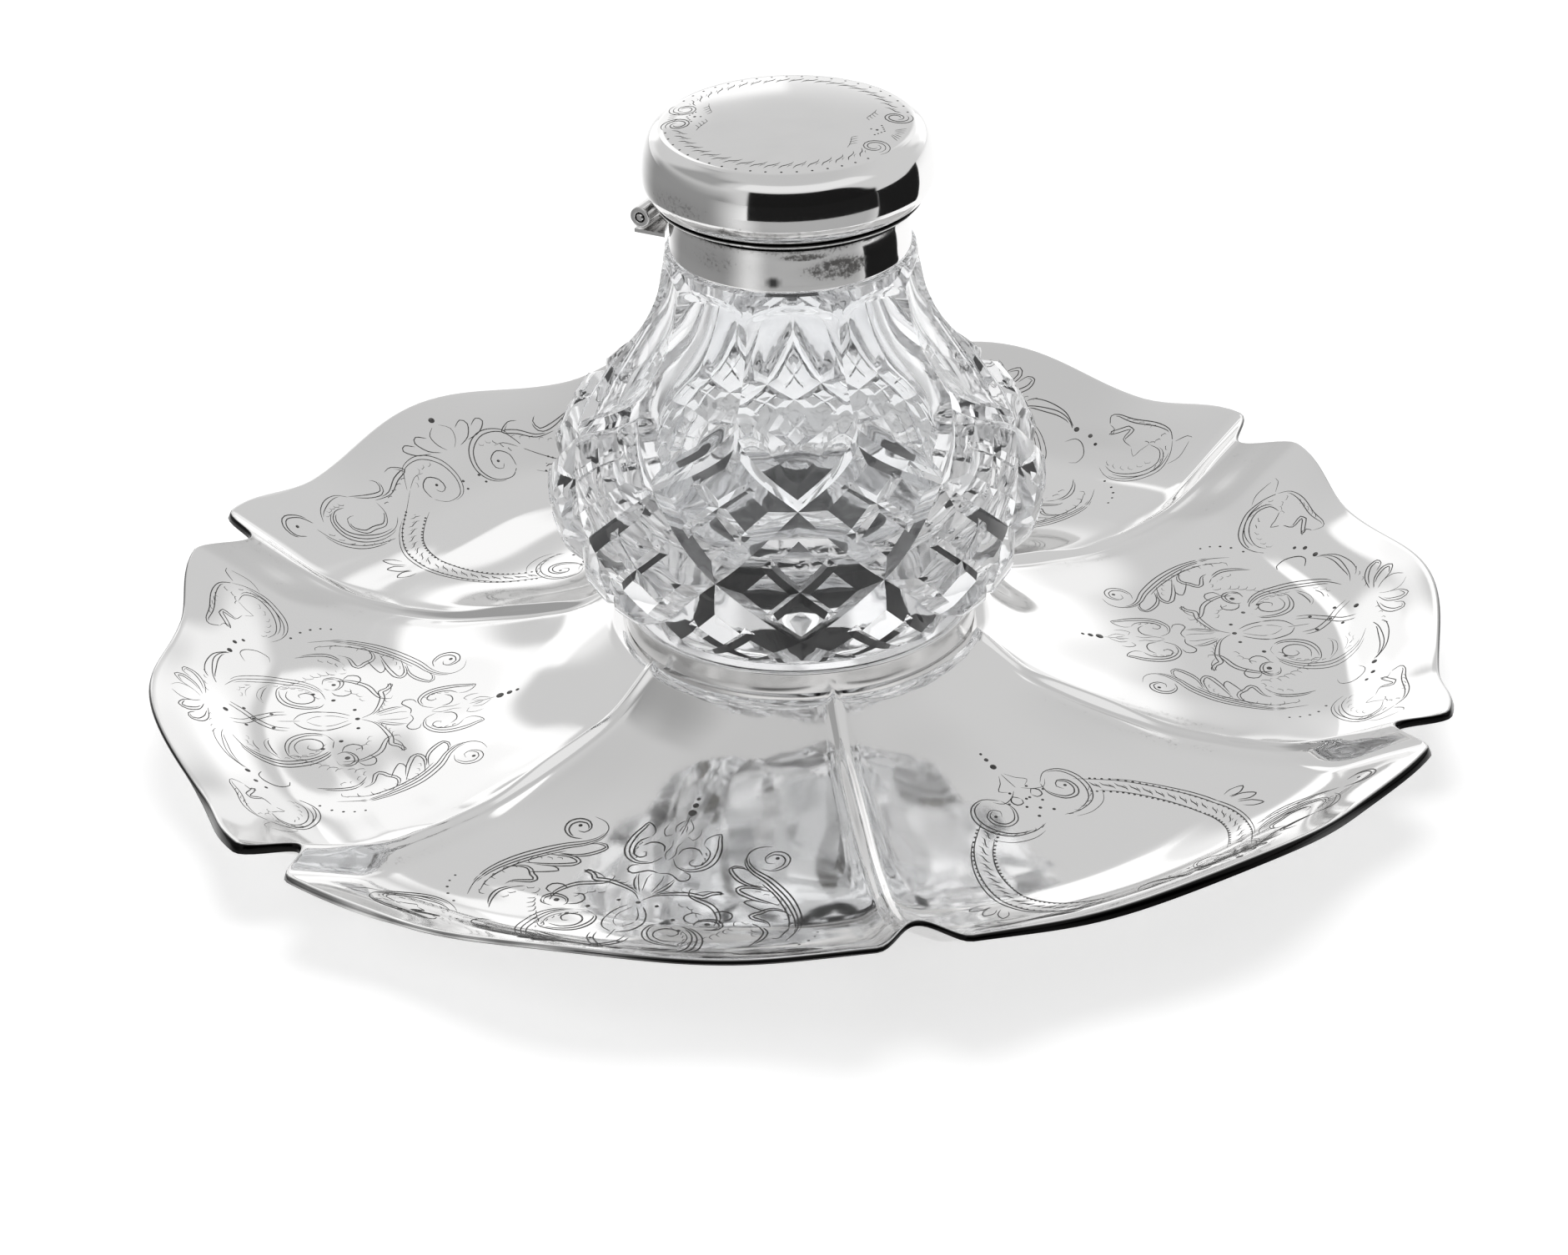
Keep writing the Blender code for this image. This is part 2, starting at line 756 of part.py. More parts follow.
def build_hinge(material, well, lid):
    half_middle = middle_tube_length / 2.0
    start = half_middle + bore_gap
    end = start + outer_tube_length
    build_tube("collar_knuckle_front", -end, -start, material, well)
    build_tube("collar_knuckle_back", start, end, material, well)

    pin_radius = tube_bore - bore_gap
    pin_end = end + pin_overhang
    outline = [
        (0.0, -pin_end),
        (pin_radius - pin_bevel, -pin_end),
        (pin_radius, -pin_end + pin_bevel),
        (pin_radius, pin_end - pin_bevel),
        (pin_radius - pin_bevel, pin_end),
        (0.0, pin_end),
    ]
    bm = spin_outline(outline, small_sides)
    bm.transform(hinge_frame() @ Matrix.Rotation(pi / 2.0, 4, "Y"))
    add_object("hinge_pin", bm, material, well)

    plate_top = -tube_radius - seat_gap
    inward = hinge_radius - band_waist_radius
    bm = box_mesh((-end, -plate_reach, plate_top - plate_thickness), (end, 2.0 * inward, plate_top))
    bm.transform(hinge_frame())
    plate = add_object("hinge_plate", bm, material, well, smooth=False)
    collar_clear = band_radius(hinge_height + plate_top - plate_thickness) + seat_gap
    tall = band_height + bezel_height
    cutter = spin_outline(
        [(0.0, band_base - tall), (collar_clear, band_base - tall), (collar_clear, bezel_top), (0.0, bezel_top)],
        fine_sides,
    )
    cut_away(plate, cutter)

    bm = tube_mesh(-half_middle, half_middle, tube_radius, tube_bore)
    bm.transform(hinge_frame())
    knuckle = add_object("lid_knuckle", bm, material, lid)
    strap_low = Vector((-half_middle, -strap_outer, tube_radius * strap_root_share))
    strap_high = Vector((half_middle, strap_inner, lid_base - seat_gap - hinge_height))
    strap = box_mesh(strap_low, strap_high)
    strap.transform(hinge_frame())
    cut_away(knuckle, strap, "UNION")


def main():
    clear_scene()
    silver = polished_silver("polished_silver")
    worn_silver = polished_silver("worn_silver", 0.85)
    glass = make_material("cut_glass", (0.96, 0.98, 0.99), 0.02, 0.0, 1.0)
    baize = make_material("pad_baize", (0.02, 0.02, 0.022), 0.9, 0.0)
    plaster = make_material("neck_plaster", (0.8, 0.78, 0.72), 0.8, 0.0)

    build_dish(silver)
    build_foot_ring(silver)
    build_seat_ring(silver)
    build_seat_pad(baize)

    well = add_empty("well_lift", (0.0, 0.0, glass_base))
    build_glass_well(glass, well)
    build_neck_cement(plaster, well)
    build_collar_band(silver, well)
    build_collar_bezel(silver, well)

    lid = add_empty("lid_turn", at_azimuth(hinge_azimuth, hinge_radius, hinge_height), hinge_azimuth, well)
    build_lid_shell(silver, lid)
    build_lid_bezel(silver, lid)
    build_hinge(worn_silver, well, lid)


main()
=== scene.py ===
# Looks of the desk inkstand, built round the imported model. Metres, +Z up, an azimuth of 0 towards -Y.
from math import atan2, cos, degrees, hypot, pi, radians, sin

import bmesh
import bpy
import numpy as np
from mathutils import Matrix, Vector


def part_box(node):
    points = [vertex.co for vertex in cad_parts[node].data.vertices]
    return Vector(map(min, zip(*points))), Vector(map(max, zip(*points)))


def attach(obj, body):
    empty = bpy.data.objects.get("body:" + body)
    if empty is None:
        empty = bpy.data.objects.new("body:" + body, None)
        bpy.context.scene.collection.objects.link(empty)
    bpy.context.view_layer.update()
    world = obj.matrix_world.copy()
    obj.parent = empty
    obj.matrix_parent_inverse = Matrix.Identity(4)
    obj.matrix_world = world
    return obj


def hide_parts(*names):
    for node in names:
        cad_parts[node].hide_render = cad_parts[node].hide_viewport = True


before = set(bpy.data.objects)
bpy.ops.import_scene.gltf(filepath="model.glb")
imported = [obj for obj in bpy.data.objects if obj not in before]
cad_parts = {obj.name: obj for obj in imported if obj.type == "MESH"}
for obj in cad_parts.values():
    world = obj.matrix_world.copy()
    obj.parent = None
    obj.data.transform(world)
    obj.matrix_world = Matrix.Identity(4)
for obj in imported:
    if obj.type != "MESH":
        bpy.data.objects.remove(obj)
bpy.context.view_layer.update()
mm = 0.001


# Shader maths


class Wire:
    # One socket of a node tree, so that sums on it read as sums

    def __init__(self, tree, socket):
        self.tree = tree
        self.socket = socket

    def maths(self, operation, *values):
        return self.tree.add("ShaderNodeMath", {"operation": operation}, dict(enumerate(values)))

    def __add__(self, other):
        return self.maths("ADD", self, other)

    def __radd__(self, other):
        return self.maths("ADD", other, self)

    def __sub__(self, other):
        return self.maths("SUBTRACT", self, other)

    def __rsub__(self, other):
        return self.maths("SUBTRACT", other, self)

    def __mul__(self, other):
        return self.maths("MULTIPLY", self, other)

    def __rmul__(self, other):
        return self.maths("MULTIPLY", other, self)

    def clear(self, low, high):
        # 0 below low, 1 above high, smooth between; low may be the larger one
        settings = {"interpolation_type": "SMOOTHSTEP", "clamp": True}
        values = {"Value": self, "From Min": low, "From Max": high}
        return self.tree.add("ShaderNodeMapRange", settings, values)

    def within(self, low, high, soft):
        # 1 between low and high, with soft ends
        return self.clear(low - soft, low + soft) * self.clear(high + soft, high - soft)


class Tree:
    # A material's or the world's nodes

    def __init__(self, owner):
        owner.use_nodes = True
        self.tree = owner.node_tree
        self.tree.nodes.clear()

    def add(self, kind, settings=None, values=None, output=0):
        node = self.tree.nodes.new(kind)
        for name, setting in (settings or {}).items():
            setattr(node, name, setting)
        for name, value in (values or {}).items():
            if isinstance(value, Wire):
                self.tree.links.new(value.socket, node.inputs[name])
            else:
                node.inputs[name].default_value = value
        return Wire(self, node.outputs[output]) if node.outputs else None

    def several(self, kind, names, values=None):
        # The outputs with these names of one new node
        node = self.add(kind, {}, values).socket.node
        return [Wire(self, node.outputs[name]) for name in names]

    def mix(self, share, first, second):
        settings = {"data_type": "RGBA"}
        return self.add("ShaderNodeMix", settings, {0: share, 6: first, 7: second}, output=2)

    def noise(self, scale, detail, roughness, stretch=None):
        place = self.place()
        if stretch:
            place = self.add("ShaderNodeMapping", {}, {"Vector": place, "Scale": stretch})
        values = {"Vector": place, "Scale": scale, "Detail": detail, "Roughness": roughness}
        return self.add("ShaderNodeTexNoise", {}, values)

    def place(self):
        return self.add("ShaderNodeTexCoord", {}, {}, output=3)

    def mark(self, name):
        return self.add("ShaderNodeAttribute", {"attribute_name": name}, {}, output=2)

    def bump(self, height):
        return self.add("ShaderNodeBump", {}, {"Strength": 1.0, "Distance": 1.0, "Height": height})

    def rays(self):
        # Whether the camera, a mirror or a glass looks
        return self.several("ShaderNodeLightPath", ("Is Camera Ray", "Is Glossy Ray", "Is Transmission Ray"))

    def split(self, vector):
        return self.several("ShaderNodeSeparateXYZ", ("X", "Y", "Z"), {"Vector": vector})


def newMaterial(name):
    material = bpy.data.materials.new(name)
    return material, Tree(material)


def finishMaterial(material, tree, shader):
    tree.add("ShaderNodeOutputMaterial", {}, {"Surface": shader})
    return material


def finishSurface(material, tree, values):
    return finishMaterial(material, tree, tree.add("ShaderNodeBsdfPrincipled", {}, values))


def grey(level, warmth=0.0):
    return (level * (1.0 + warmth), level, level * (1.0 - warmth), 1.0)


# A noise is its scale, detail and roughness, and a range is where its effect starts and is full

silverLook = {
    "tone": 0.93,
    "toneWarmth": 0.004,
    "tarnish": 0.34,
    "tarnishWarmth": 0.025,
    # The tone, warmth and roughness for the dark mark are painted shade, near black, not a colour of the silver
    "paintedShadeTone": 0.012,
    "paintedShadeWarmth": 0.02,
    "rough": 0.035,
    "roughSpread": 0.05,
    "rubRough": 0.02,
    "spotRough": 0.22,
    "paintedShadeRough": 0.1,
    "cloud": (38.0, 4.0, 0.6),
    "cloudRange": (0.35, 0.75),
    "speck": (900.0, 5.0, 0.7),
    "spotDirt": 0.30,
    "spotRange": (0.66, 0.92),
    "spotShare": 0.75,
    "spotDepth": 0.000004,
    "dirtShare": 0.28,
    "cloudShare": 0.05,
    "ripple": (42.0, 1.0, 0.4),
    "rippleHeight": 0.00010,
    "rub": (900.0, 2.0, 0.5, (1.0, 0.12, 0.4)),
    "rubHeight": 0.0000012,
}
collarLook = {
    "rippleHeight": 0.00005,
    "spotShare": 1.0,
    "cloudShare": 0.16,
    "tarnish": 0.2,
    "speck": (1300.0, 5.0, 0.7),
}
hingeLook = {"tone": 0.8, "rough": 0.12, "rippleHeight": 0.0, "cloudShare": 0.2}
ringLook = {"rough": 0.17, "dirtShare": 0.2}


def makeSilver(name, changes):
    # Polished sheet: a slow ripple from the hammer, fine rubbing marks and tarnish where a cloth doesn't reach; the
    # dark mark paints near-black shade where a piece should lie in shadow or mirror a dark place
    look = {**silverLook, **changes}
    material, tree = newMaterial(name)
    cloud, speck, rub, ripple = (tree.noise(*look[part]) for part in ("cloud", "speck", "rub", "ripple"))
    dirt = tree.mark("dirt")
    # The dark mark is painted shade: the dish rim's edge and underside and the gaps round the lid and collar are
    # coloured near black
    dark = tree.mark("dark")
    spots = (speck * 0.5 + cloud * 0.5 + dirt * look["spotDirt"]).clear(*look["spotRange"])
    shade = spots * look["spotShare"] + dirt * look["dirtShare"]
    shade = (shade + cloud.clear(*look["cloudRange"]) * look["cloudShare"]).clear(0.0, 1.0)
    tone = tree.mix(shade, grey(look["tone"], look["toneWarmth"]), grey(look["tarnish"], look["tarnishWarmth"]))
    # Painted shade: the dark mark pulls the colour to near black
    tone = tree.mix(dark, tone, grey(look["paintedShadeTone"], look["paintedShadeWarmth"]))
    rough = look["rough"] + cloud * look["roughSpread"] + rub * look["rubRough"]
    rough = rough + spots * look["spotRough"] + dark * look["paintedShadeRough"]
    height = ripple * look["rippleHeight"] + rub * look["rubHeight"] - spots * look["spotDepth"]
    values = {"Base Color": tone, "Roughness": rough, "Metallic": 1.0, "Normal": tree.bump(height)}
    return finishSurface(material, tree, values)


glassLook = {
    "clean": (0.985, 0.99, 0.995, 1.0),
    "hazy": (0.95, 0.96, 0.975, 1.0),
    "haze": (60.0, 3.0, 0.6),
    "hazeRange": (0.3, 0.8),
    "hazeDepth": 0.00004,
    "smear": (300.0, 2.0, 0.5, (1.0, 1.0, 0.3)),
    "smearRange": (0.55, 0.8),
    "smearRough": 0.03,
    "rough": 0.035,
    "bending": 1.46,
    "bloom": (0.86, 0.87, 0.9, 1.0),
    "bloomShare": 0.02,
    "bloomSpread": 0.03,
    "bloomRange": (0.35, 0.75),
}


def makeGlass(name):
    # Clear glass with a faint haze on its surface
    look = glassLook
    material, tree = newMaterial(name)
    haze, smear = tree.noise(*look["haze"]), tree.noise(*look["smear"])
    values = {
        "Base Color": tree.mix(haze.clear(*look["hazeRange"]), look["clean"], look["hazy"]),
        "Roughness": look["rough"] + smear.clear(*look["smearRange"]) * look["smearRough"],
        "Normal": tree.bump(haze * look["hazeDepth"]),
        "Transmission Weight": 1.0,
        "IOR": look["bending"],
    }
    clear = tree.add("ShaderNodeBsdfPrincipled", {}, values)
    bloom = tree.add("ShaderNodeBsdfDiffuse", {}, {"Color": look["bloom"]})
    share = look["bloomShare"] + haze.clear(*look["bloomRange"]) * look["bloomSpread"]
    return finishMaterial(material, tree, tree.add("ShaderNodeMixShader", {}, {0: share, 1: clear, 2: bloom}))


baizeLook = {
    "fibre": (2600.0, 3.0, 0.7),
    "fibreRange": (0.35, 0.75),
    "fibreDepth": 0.0001,
    "deep": grey(0.006),
    "raised": grey(0.024, 0.05),
    "worn": (120.0, 3.0, 0.6),
    "wornRange": (0.55, 0.8),
    "wornShare": 0.4,
    "wornTone": grey(0.045, 0.05),
    "rough": 0.9,
    "sheen": 0.15,
}


def makeBaize(name):
    # Black cloth, greyer where it has worn
    look = baizeLook
    material, tree = newMaterial(name)
    fibre, worn = tree.noise(*look["fibre"]), tree.noise(*look["worn"])
    tone = tree.mix(fibre.clear(*look["fibreRange"]), look["deep"], look["raised"])
    tone = tree.mix(worn.clear(*look["wornRange"]) * look["wornShare"], tone, look["wornTone"])
    values = {"Base Color": tone, "Roughness": look["rough"], "Sheen Weight": look["sheen"]}
    values["Normal"] = tree.bump(fibre * look["fibreDepth"])
    return finishSurface(material, tree, values)


plasterLook = {
    "grain": (1500.0, 4.0, 0.6),
    "grainDepth": 0.00008,
    "stain": (140.0, 3.0, 0.6),
    "stainRange": (0.4, 0.75),
    "fresh": (0.72, 0.70, 0.64, 1.0),
    "stained": (0.5, 0.45, 0.37, 1.0),
    "rough": 0.85,
}


def makePlaster(name):
    look = plasterLook
    material, tree = newMaterial(name)
    grain, stain = tree.noise(*look["grain"]), tree.noise(*look["stain"])
    tone = tree.mix(stain.clear(*look["stainRange"]), look["fresh"], look["stained"])
    values = {"Base Color": tone, "Roughness": look["rough"], "Normal": tree.bump(grain * look["grainDepth"])}
    return finishSurface(material, tree, values)


cutLook = {
    "grain": (1400.0, 3.0, 0.6),
    "grainRange": (0.3, 0.8),
    "dark": grey(0.06, 0.02),
    "pale": grey(0.24, 0.02),
    "rough": 0.35,
    "roughSpread": 0.2,
}


def makeCutLine(name):
    # The bottom of an engraved line: tarnish that polishing leaves there
    look = cutLook
    material, tree = newMaterial(name)
    grain = tree.noise(*look["grain"])
    tone = tree.mix(grain.clear(*look["grainRange"]), look["dark"], look["pale"])
    values = {"Base Color": tone, "Roughness": look["rough"] + grain * look["roughSpread"], "Metallic": 1.0}
    return finishSurface(material, tree, values)


dishSilver = makeSilver("dish_silver", {})
ringSilver = makeSilver("ring_silver", ringLook)
collarSilver = makeSilver("collar_silver", collarLook)
hingeSilver = makeSilver("hinge_silver", hingeLook)
cutGlass = makeGlass("cut_glass_clear")
padBaize = makeBaize("pad_black_baize")
neckPlaster = makePlaster("neck_plaster_set")
cutLine = makeCutLine("engraved_line")
print("materials made")


# Shapes shared by the pieces


def smoothStep(share):
    share = min(max(share, 0.0), 1.0)
    return share * share * (3.0 - 2.0 * share)


def ease(low, high, share):
    return low + (high - low) * (1.0 - cos(pi * min(max(share, 0.0), 1.0))) / 2.0


def readCurve(points, share):
    # A smooth curve through rising places, with slopes taken from the neighbours
    if share <= points[0][0]:
        return points[0][1]
    last = len(points) - 1
    for index in range(last):
        low, high = points[index], points[index + 1]
        if share <= high[0] or index == last - 1:
            before = points[max(index - 1, 0)]
            after = points[min(index + 2, last)]
            span = high[0] - low[0]
            slopeLow = (high[1] - before[1]) / (high[0] - before[0]) * span
            slopeHigh = (after[1] - low[1]) / (after[0] - low[0]) * span
            u = min((share - low[0]) / span, 1.0)
            return (
                (2 * u**3 - 3 * u**2 + 1) * low[1]
                + (u**3 - 2 * u**2 + u) * slopeLow
                + (3 * u**2 - 2 * u**3) * high[1]
                + (u**3 - u**2) * slopeHigh
            )
    return points[last][1]


def atAzimuth(azimuth, radius, height):
    return Vector((radius * sin(azimuth), -radius * cos(azimuth), height))


upward = Vector((0.0, 0.0, 1.0))
turnedCrease = radians(40.0)


def placeObject(name, data):
    placed = bpy.data.objects.new(name, data)
    bpy.context.collection.objects.link(placed)
    return placed


def addPiece(name, vertices, faces, material, body, node, marks=None, crease=None):
    mesh = bpy.data.meshes.new(name)
    mesh.from_pydata([tuple(corner) for corner in vertices], [], faces)
    mesh.validate()
    mesh.shade_smooth()
    if crease is not None:
        mesh.set_sharp_from_angle(angle=crease)
    # dirt is tarnish; dark is painted shade
    for markName in ("dirt", "dark"):
        values = (marks or {}).get(markName)
        layer = mesh.attributes.new(markName, "FLOAT", "POINT")
        if values is not None:
            layer.data.foreach_set("value", np.array(values, dtype=np.float32))
    mesh.materials.append(material)
    piece = placeObject(name, mesh)
    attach(piece, body)
    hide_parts(node)
    return piece


def spinPiece(outline, sides):
    # A closed outline of radius and height pairs, turned round the upright axis
    count = len(outline)
    vertices = []
    faces = []
    for side in range(sides):
        azimuth = 2.0 * pi * side / sides
        vertices += [atAzimuth(azimuth, radius, height) for radius, height in outline]
    for side in range(sides):
        here = side * count
        there = (side + 1) % sides * count
        for index in range(count):
            after = (index + 1) % count
            faces.append((here + index, there + index, there + after, here + after))
    return vertices, faces


def roundLoop(corners, bevel, steps=4):
    # Rounds the corners of a closed outline by cutting back along both sides, by one bevel or one for each
    rounded = []
    count = len(corners)
    for index in range(count):
        before, here, after = corners[index - 1], corners[index], corners[(index + 1) % count]
        cut = bevel[index] if isinstance(bevel, (list, tuple)) else bevel
        if cut <= 0.0:
            rounded.append(here)
            continue
        toBefore = Vector((before[0] - here[0], before[1] - here[1]))
        toAfter = Vector((after[0] - here[0], after[1] - here[1]))
        cut = min(cut, toBefore.length / 2.1, toAfter.length / 2.1)
        start = Vector(here) + toBefore.normalized() * cut
        end = Vector(here) + toAfter.normalized() * cut
        for step in range(steps + 1):
            u = step / steps
            point = start * (1 - u) ** 2 + Vector(here) * 2 * u * (1 - u) + end * u**2
            rounded.append((point.x, point.y))
    return rounded


def smoothLine(points, steps):
    # More places on a line of radius and height pairs
    lengths = [0.0]
    for before, after in zip(points, points[1:]):
        lengths.append(lengths[-1] + hypot(after[0] - before[0], after[1] - before[1]))
    wide = list(zip(lengths, [point[0] for point in points]))
    high = list(zip(lengths, [point[1] for point in points]))
    places = [lengths[-1] * step / steps for step in range(steps + 1)]
    return [(readCurve(wide, place), readCurve(high, place)) for place in places]


# Dish: six petals of thin sheet, the same line as the imported solid, with a rounded edge. Painted shade darkens the
# edge's lower part, the lip and the underside near it. A rim place is its middle and reach in degrees and its share
# or depth; a dirt entry is its level, then where it starts and its runs.

dish = {
    "petals": 6,
    "firstRib": radians(9.0),
    "sheet": 1.1 * mm,
    "plateauRadius": 33.3 * mm,
    "ribHeadRadius": 35.0 * mm,
    "notchRadius": 114.7 * mm,
    "shoulderRadius": 123.0 * mm,
    "hollowRadius": 119.2 * mm,
    "petalRadius": 122.2 * mm,
    "shoulderAngle": radians(3.8),
    "hollowAngle": radians(14.6),
    "floor": 5.0 * mm,
    "plateauRise": 14.8 * mm,
    "ribHeadRise": 17.0 * mm,
    "ribFloorRise": 2.1 * mm,
    "notchRise": 12.5 * mm,
    "shoulderRise": 13.0 * mm,
    "hollowRise": 10.0 * mm,
    "petalRise": 13.4 * mm,
    "ribHalfWidth": 1.7 * mm,
    "foldShare": 0.62,
    "edgePower": 4,
    "footRadius": 80.5 * mm,
    "bow": 3.0 * mm,
    "bowAzimuth": radians(12.9),
    "wave": 1.3 * mm,
    "waveAzimuth": radians(20.1),
    "ribFall": ((0.0, 1.0), (0.11, 0.55), (0.20, 0.415), (0.32, 0.26), (0.46, 0.055), (0.60, 0.0)),
    "ribClimb": ((0.60, 0.0), (0.75, 0.13), (0.89, 0.57), (1.0, 1.0)),
    "valleyFall": ((0.0, 1.0), (0.11, 0.54), (0.23, 0.245), (0.36, 0.068), (0.50, -0.012), (0.64, 0.0)),
    "valleyClimb": ((0.64, 0.0), (0.79, 0.19), (0.92, 0.72), (1.0, 1.0)),
    "edgeRound": 0.45 * mm,
    "rimSteps": 4,
    # Painted shade on the rim: where it starts and is full round the edge, how it fades under the sheet, and where it
    # is paler
    "rimShade": (0.9, 0.35),
    "lipSteps": 3,
    "lipRound": 0.5,
    "lipDrop": 1.1,
    "underShadeFade": 5.0,
    "middleDirt": 0.3,
    "notchDirt": (0.6, 97.0 * mm, 16.0 * mm, 11.0 * mm),
    "ribDirt": (0.45, 4.0 * mm, 4.5 * mm, 40.0 * mm, 20.0 * mm),
    "ringDirt": (0.35, 33.0 * mm, 6.0 * mm),
    "rimShadePale": (-31.0, 13.0, 0.7),
    "rimWaves": (0.75, 0.25, 61.0),
    "rimDrops": ((46.0, 28.0, 1.05 * mm), (-58.5, 7.0, 1.2 * mm), (-115.0, 4.0, 0.9 * mm), (-44.0, 6.0, 0.5 * mm)),
    "radialSteps": 60,
    "radialPower": 1.15,
    "petalSteps": 34,
    "ribTurns": (0.0, 0.25, 0.5, 0.8, 1.1, 1.5, 1.95, 2.4, 2.85, 3.3, 3.8, 4.4, 5.0),
}


def petalEdge(angle):
    # Radius and height of a petal's edge at an angle from the nearest notch
    if angle < dish["shoulderAngle"]:
        share = angle / dish["shoulderAngle"]
        return (
            ease(dish["notchRadius"], dish["shoulderRadius"], share),
            ease(dish["notchRise"], dish["shoulderRise"], share),
        )
    if angle < dish["hollowAngle"]:
        share = (angle - dish["shoulderAngle"]) / (dish["hollowAngle"] - dish["shoulderAngle"])
        return (
            ease(dish["shoulderRadius"], dish["hollowRadius"], share),
            ease(dish["shoulderRise"], dish["hollowRise"], share),
        )
    share = (angle - dish["hollowAngle"]) / (pi / dish["petals"] - dish["hollowAngle"])
    return (
        ease(dish["hollowRadius"], dish["petalRadius"], share),
        ease(dish["hollowRise"], dish["petalRise"], share),
    )


def lineRise(fall, climb, start, floor, end, share):
    if share < fall[-1][0]:
        return floor + (start - floor) * readCurve(fall, share)
    return floor + (end - floor) * readCurve(climb, share)


def ribAngle(azimuth):
    # Angle from the nearest rib
    pitch = 2.0 * pi / dish["petals"]
    turn = (azimuth - dish["firstRib"]) % pitch
    return min(turn, pitch - turn)


def dishPoint(azimuth, share):
    # The upper face at a share of the way from the plateau to the edge
    angle = ribAngle(azimuth)
    edgeRadius, edgeRise = petalEdge(angle)
    radius = dish["ribHeadRadius"] + (edgeRadius - dish["ribHeadRadius"]) * share
    across = radius * sin(angle)
    middleShare = angle / (pi / dish["petals"])
    rib = lineRise(
        dish["ribFall"], dish["ribClimb"], dish["ribHeadRise"], dish["ribFloorRise"], dish["notchRise"], share
    )
    valley = lineRise(dish["valleyFall"], dish["valleyClimb"], dish["plateauRise"], 0.0, dish["petalRise"], share)
    bead = smoothStep(1.0 - across / dish["ribHalfWidth"])
    lift = dish["foldShare"] * (1.0 - middleShare) ** 3 + (1.0 - dish["foldShare"]) * bead
    rise = valley + (rib - valley) * lift
    plainEdge = dish["petalRise"] + (dish["notchRise"] - dish["petalRise"]) * lift
    rise += (edgeRise - plainEdge) * share ** dish["edgePower"]
    bend = smoothStep((radius - dish["footRadius"]) / (dish["petalRadius"] - dish["footRadius"]))
    bow = dish["bow"] * cos(2.0 * (azimuth - dish["bowAzimuth"]))
    wave = dish["wave"] * cos(3.0 * (azimuth - dish["waveAzimuth"]))
    return atAzimuth(azimuth, radius, dish["floor"] + rise + bend * (bow + wave))


def dishHeight(x, y):
    # Height of the upper face over a place on the table
    azimuth = atan2(x, -y)
    edgeRadius = petalEdge(ribAngle(azimuth))[0]
    share = (hypot(x, y) - dish["ribHeadRadius"]) / (edgeRadius - dish["ribHeadRadius"])
    return dishPoint(azimuth, min(max(share, 0.0), 1.0)).z


def petalAzimuths():
    # Closest together on the ribs and at the shoulders beside the notches
    pitch = 360.0 / dish["petals"]
    half = list(dish["ribTurns"])
    near = half[-1]
    rest = dish["petalSteps"] - len(half) + 1
    half += [near + (pitch / 2.0 - near) * step / rest for step in range(1, rest + 1)]
    turns = half[:-1] + [pitch - angle for angle in reversed(half[1:])]
    return [dish["firstRib"] + radians(pitch * petal + turn) for petal in range(dish["petals"]) for turn in turns]


def nearTurn(azimuth, middle, reach):
    # 1 round the middle of a sector given in degrees, fading out past its reach
    turned = (azimuth - radians(middle) + pi) % (2.0 * pi) - pi
    return smoothStep(1.6 - abs(turned) / radians(reach))


def dishSection(azimuth):
    # From the plateau's rim out over the edge and back under, with a painted-shade level for each place
    steps = dish["radialSteps"]
    edgeRadius = petalEdge(ribAngle(azimuth))[0]
    trim = 1.0 - dish["edgeRound"] / (edgeRadius - dish["ribHeadRadius"])
    top = [atAzimuth(azimuth, dish["plateauRadius"], dish["floor"] + dish["plateauRise"])]
    shares = [trim * (1.0 - (1.0 - step / steps) ** dish["radialPower"]) for step in range(steps + 1)]
    top += [dishPoint(azimuth, share) for share in shares]
    out = atAzimuth(azimuth, 1.0, 0.0)
    normals = []
    for index, point in enumerate(top):
        before, after = top[max(index - 1, 0)], top[min(index + 1, len(top) - 1)]
        slope = (after - before).normalized()
        normals.append((upward * slope.dot(out) - out * slope.z).normalized())

    # The edge: a quarter round above, a drop where the rim is thicker, and a smaller round below
    edge, up = top[-1], normals[-1]
    ahead = (out * up.z - upward * up.dot(out)).normalized()
    bead = dish["edgeRound"]
    rim = []
    # Painted shade grows over the quarter round, is full on the lip and fades out under the sheet
    full, start = dish["rimShade"]
    for step in range(1, dish["rimSteps"] + 1):
        turn = pi / 2.0 * step / dish["rimSteps"]
        place = edge + ahead * bead * sin(turn) - up * bead * (1.0 - cos(turn))
        rim.append((place, smoothStep(turn / full - start)))
    drop, corner = dish["sheet"] - bead, bead * dish["lipRound"]
    for middle, reach, depth in dish["rimDrops"]:
        drop += depth * nearTurn(azimuth, middle, reach)
    for step in range(1, dish["lipSteps"] + 1):
        turn = pi / 2.0 * step / dish["lipSteps"]
        fall = drop + corner * sin(turn) * dish["lipDrop"]
        rim.append((edge + ahead * (bead - corner * (1.0 - cos(turn))) - up * fall, 1.0))
    # Paler painted shade along part of the rim, a little uneven
    middle, reach, share = dish["rimShadePale"]
    even, uneven, waves = dish["rimWaves"]
    pale = share * nearTurn(azimuth, middle, reach) * (even + uneven * sin(waves * azimuth))
    rim = [(place, shade * (1.0 - pale)) for place, shade in rim]

    under = [point - normal * dish["sheet"] for point, normal in zip(top, normals)][::-1]
    section = [(point, 0.0) for point in top] + rim
    for index, point in enumerate(under[:-1]):
        section.append((point, max(0.0, 1.0 - index / dish["underShadeFade"])))
    section.append((under[-1], 0.0))
    return section


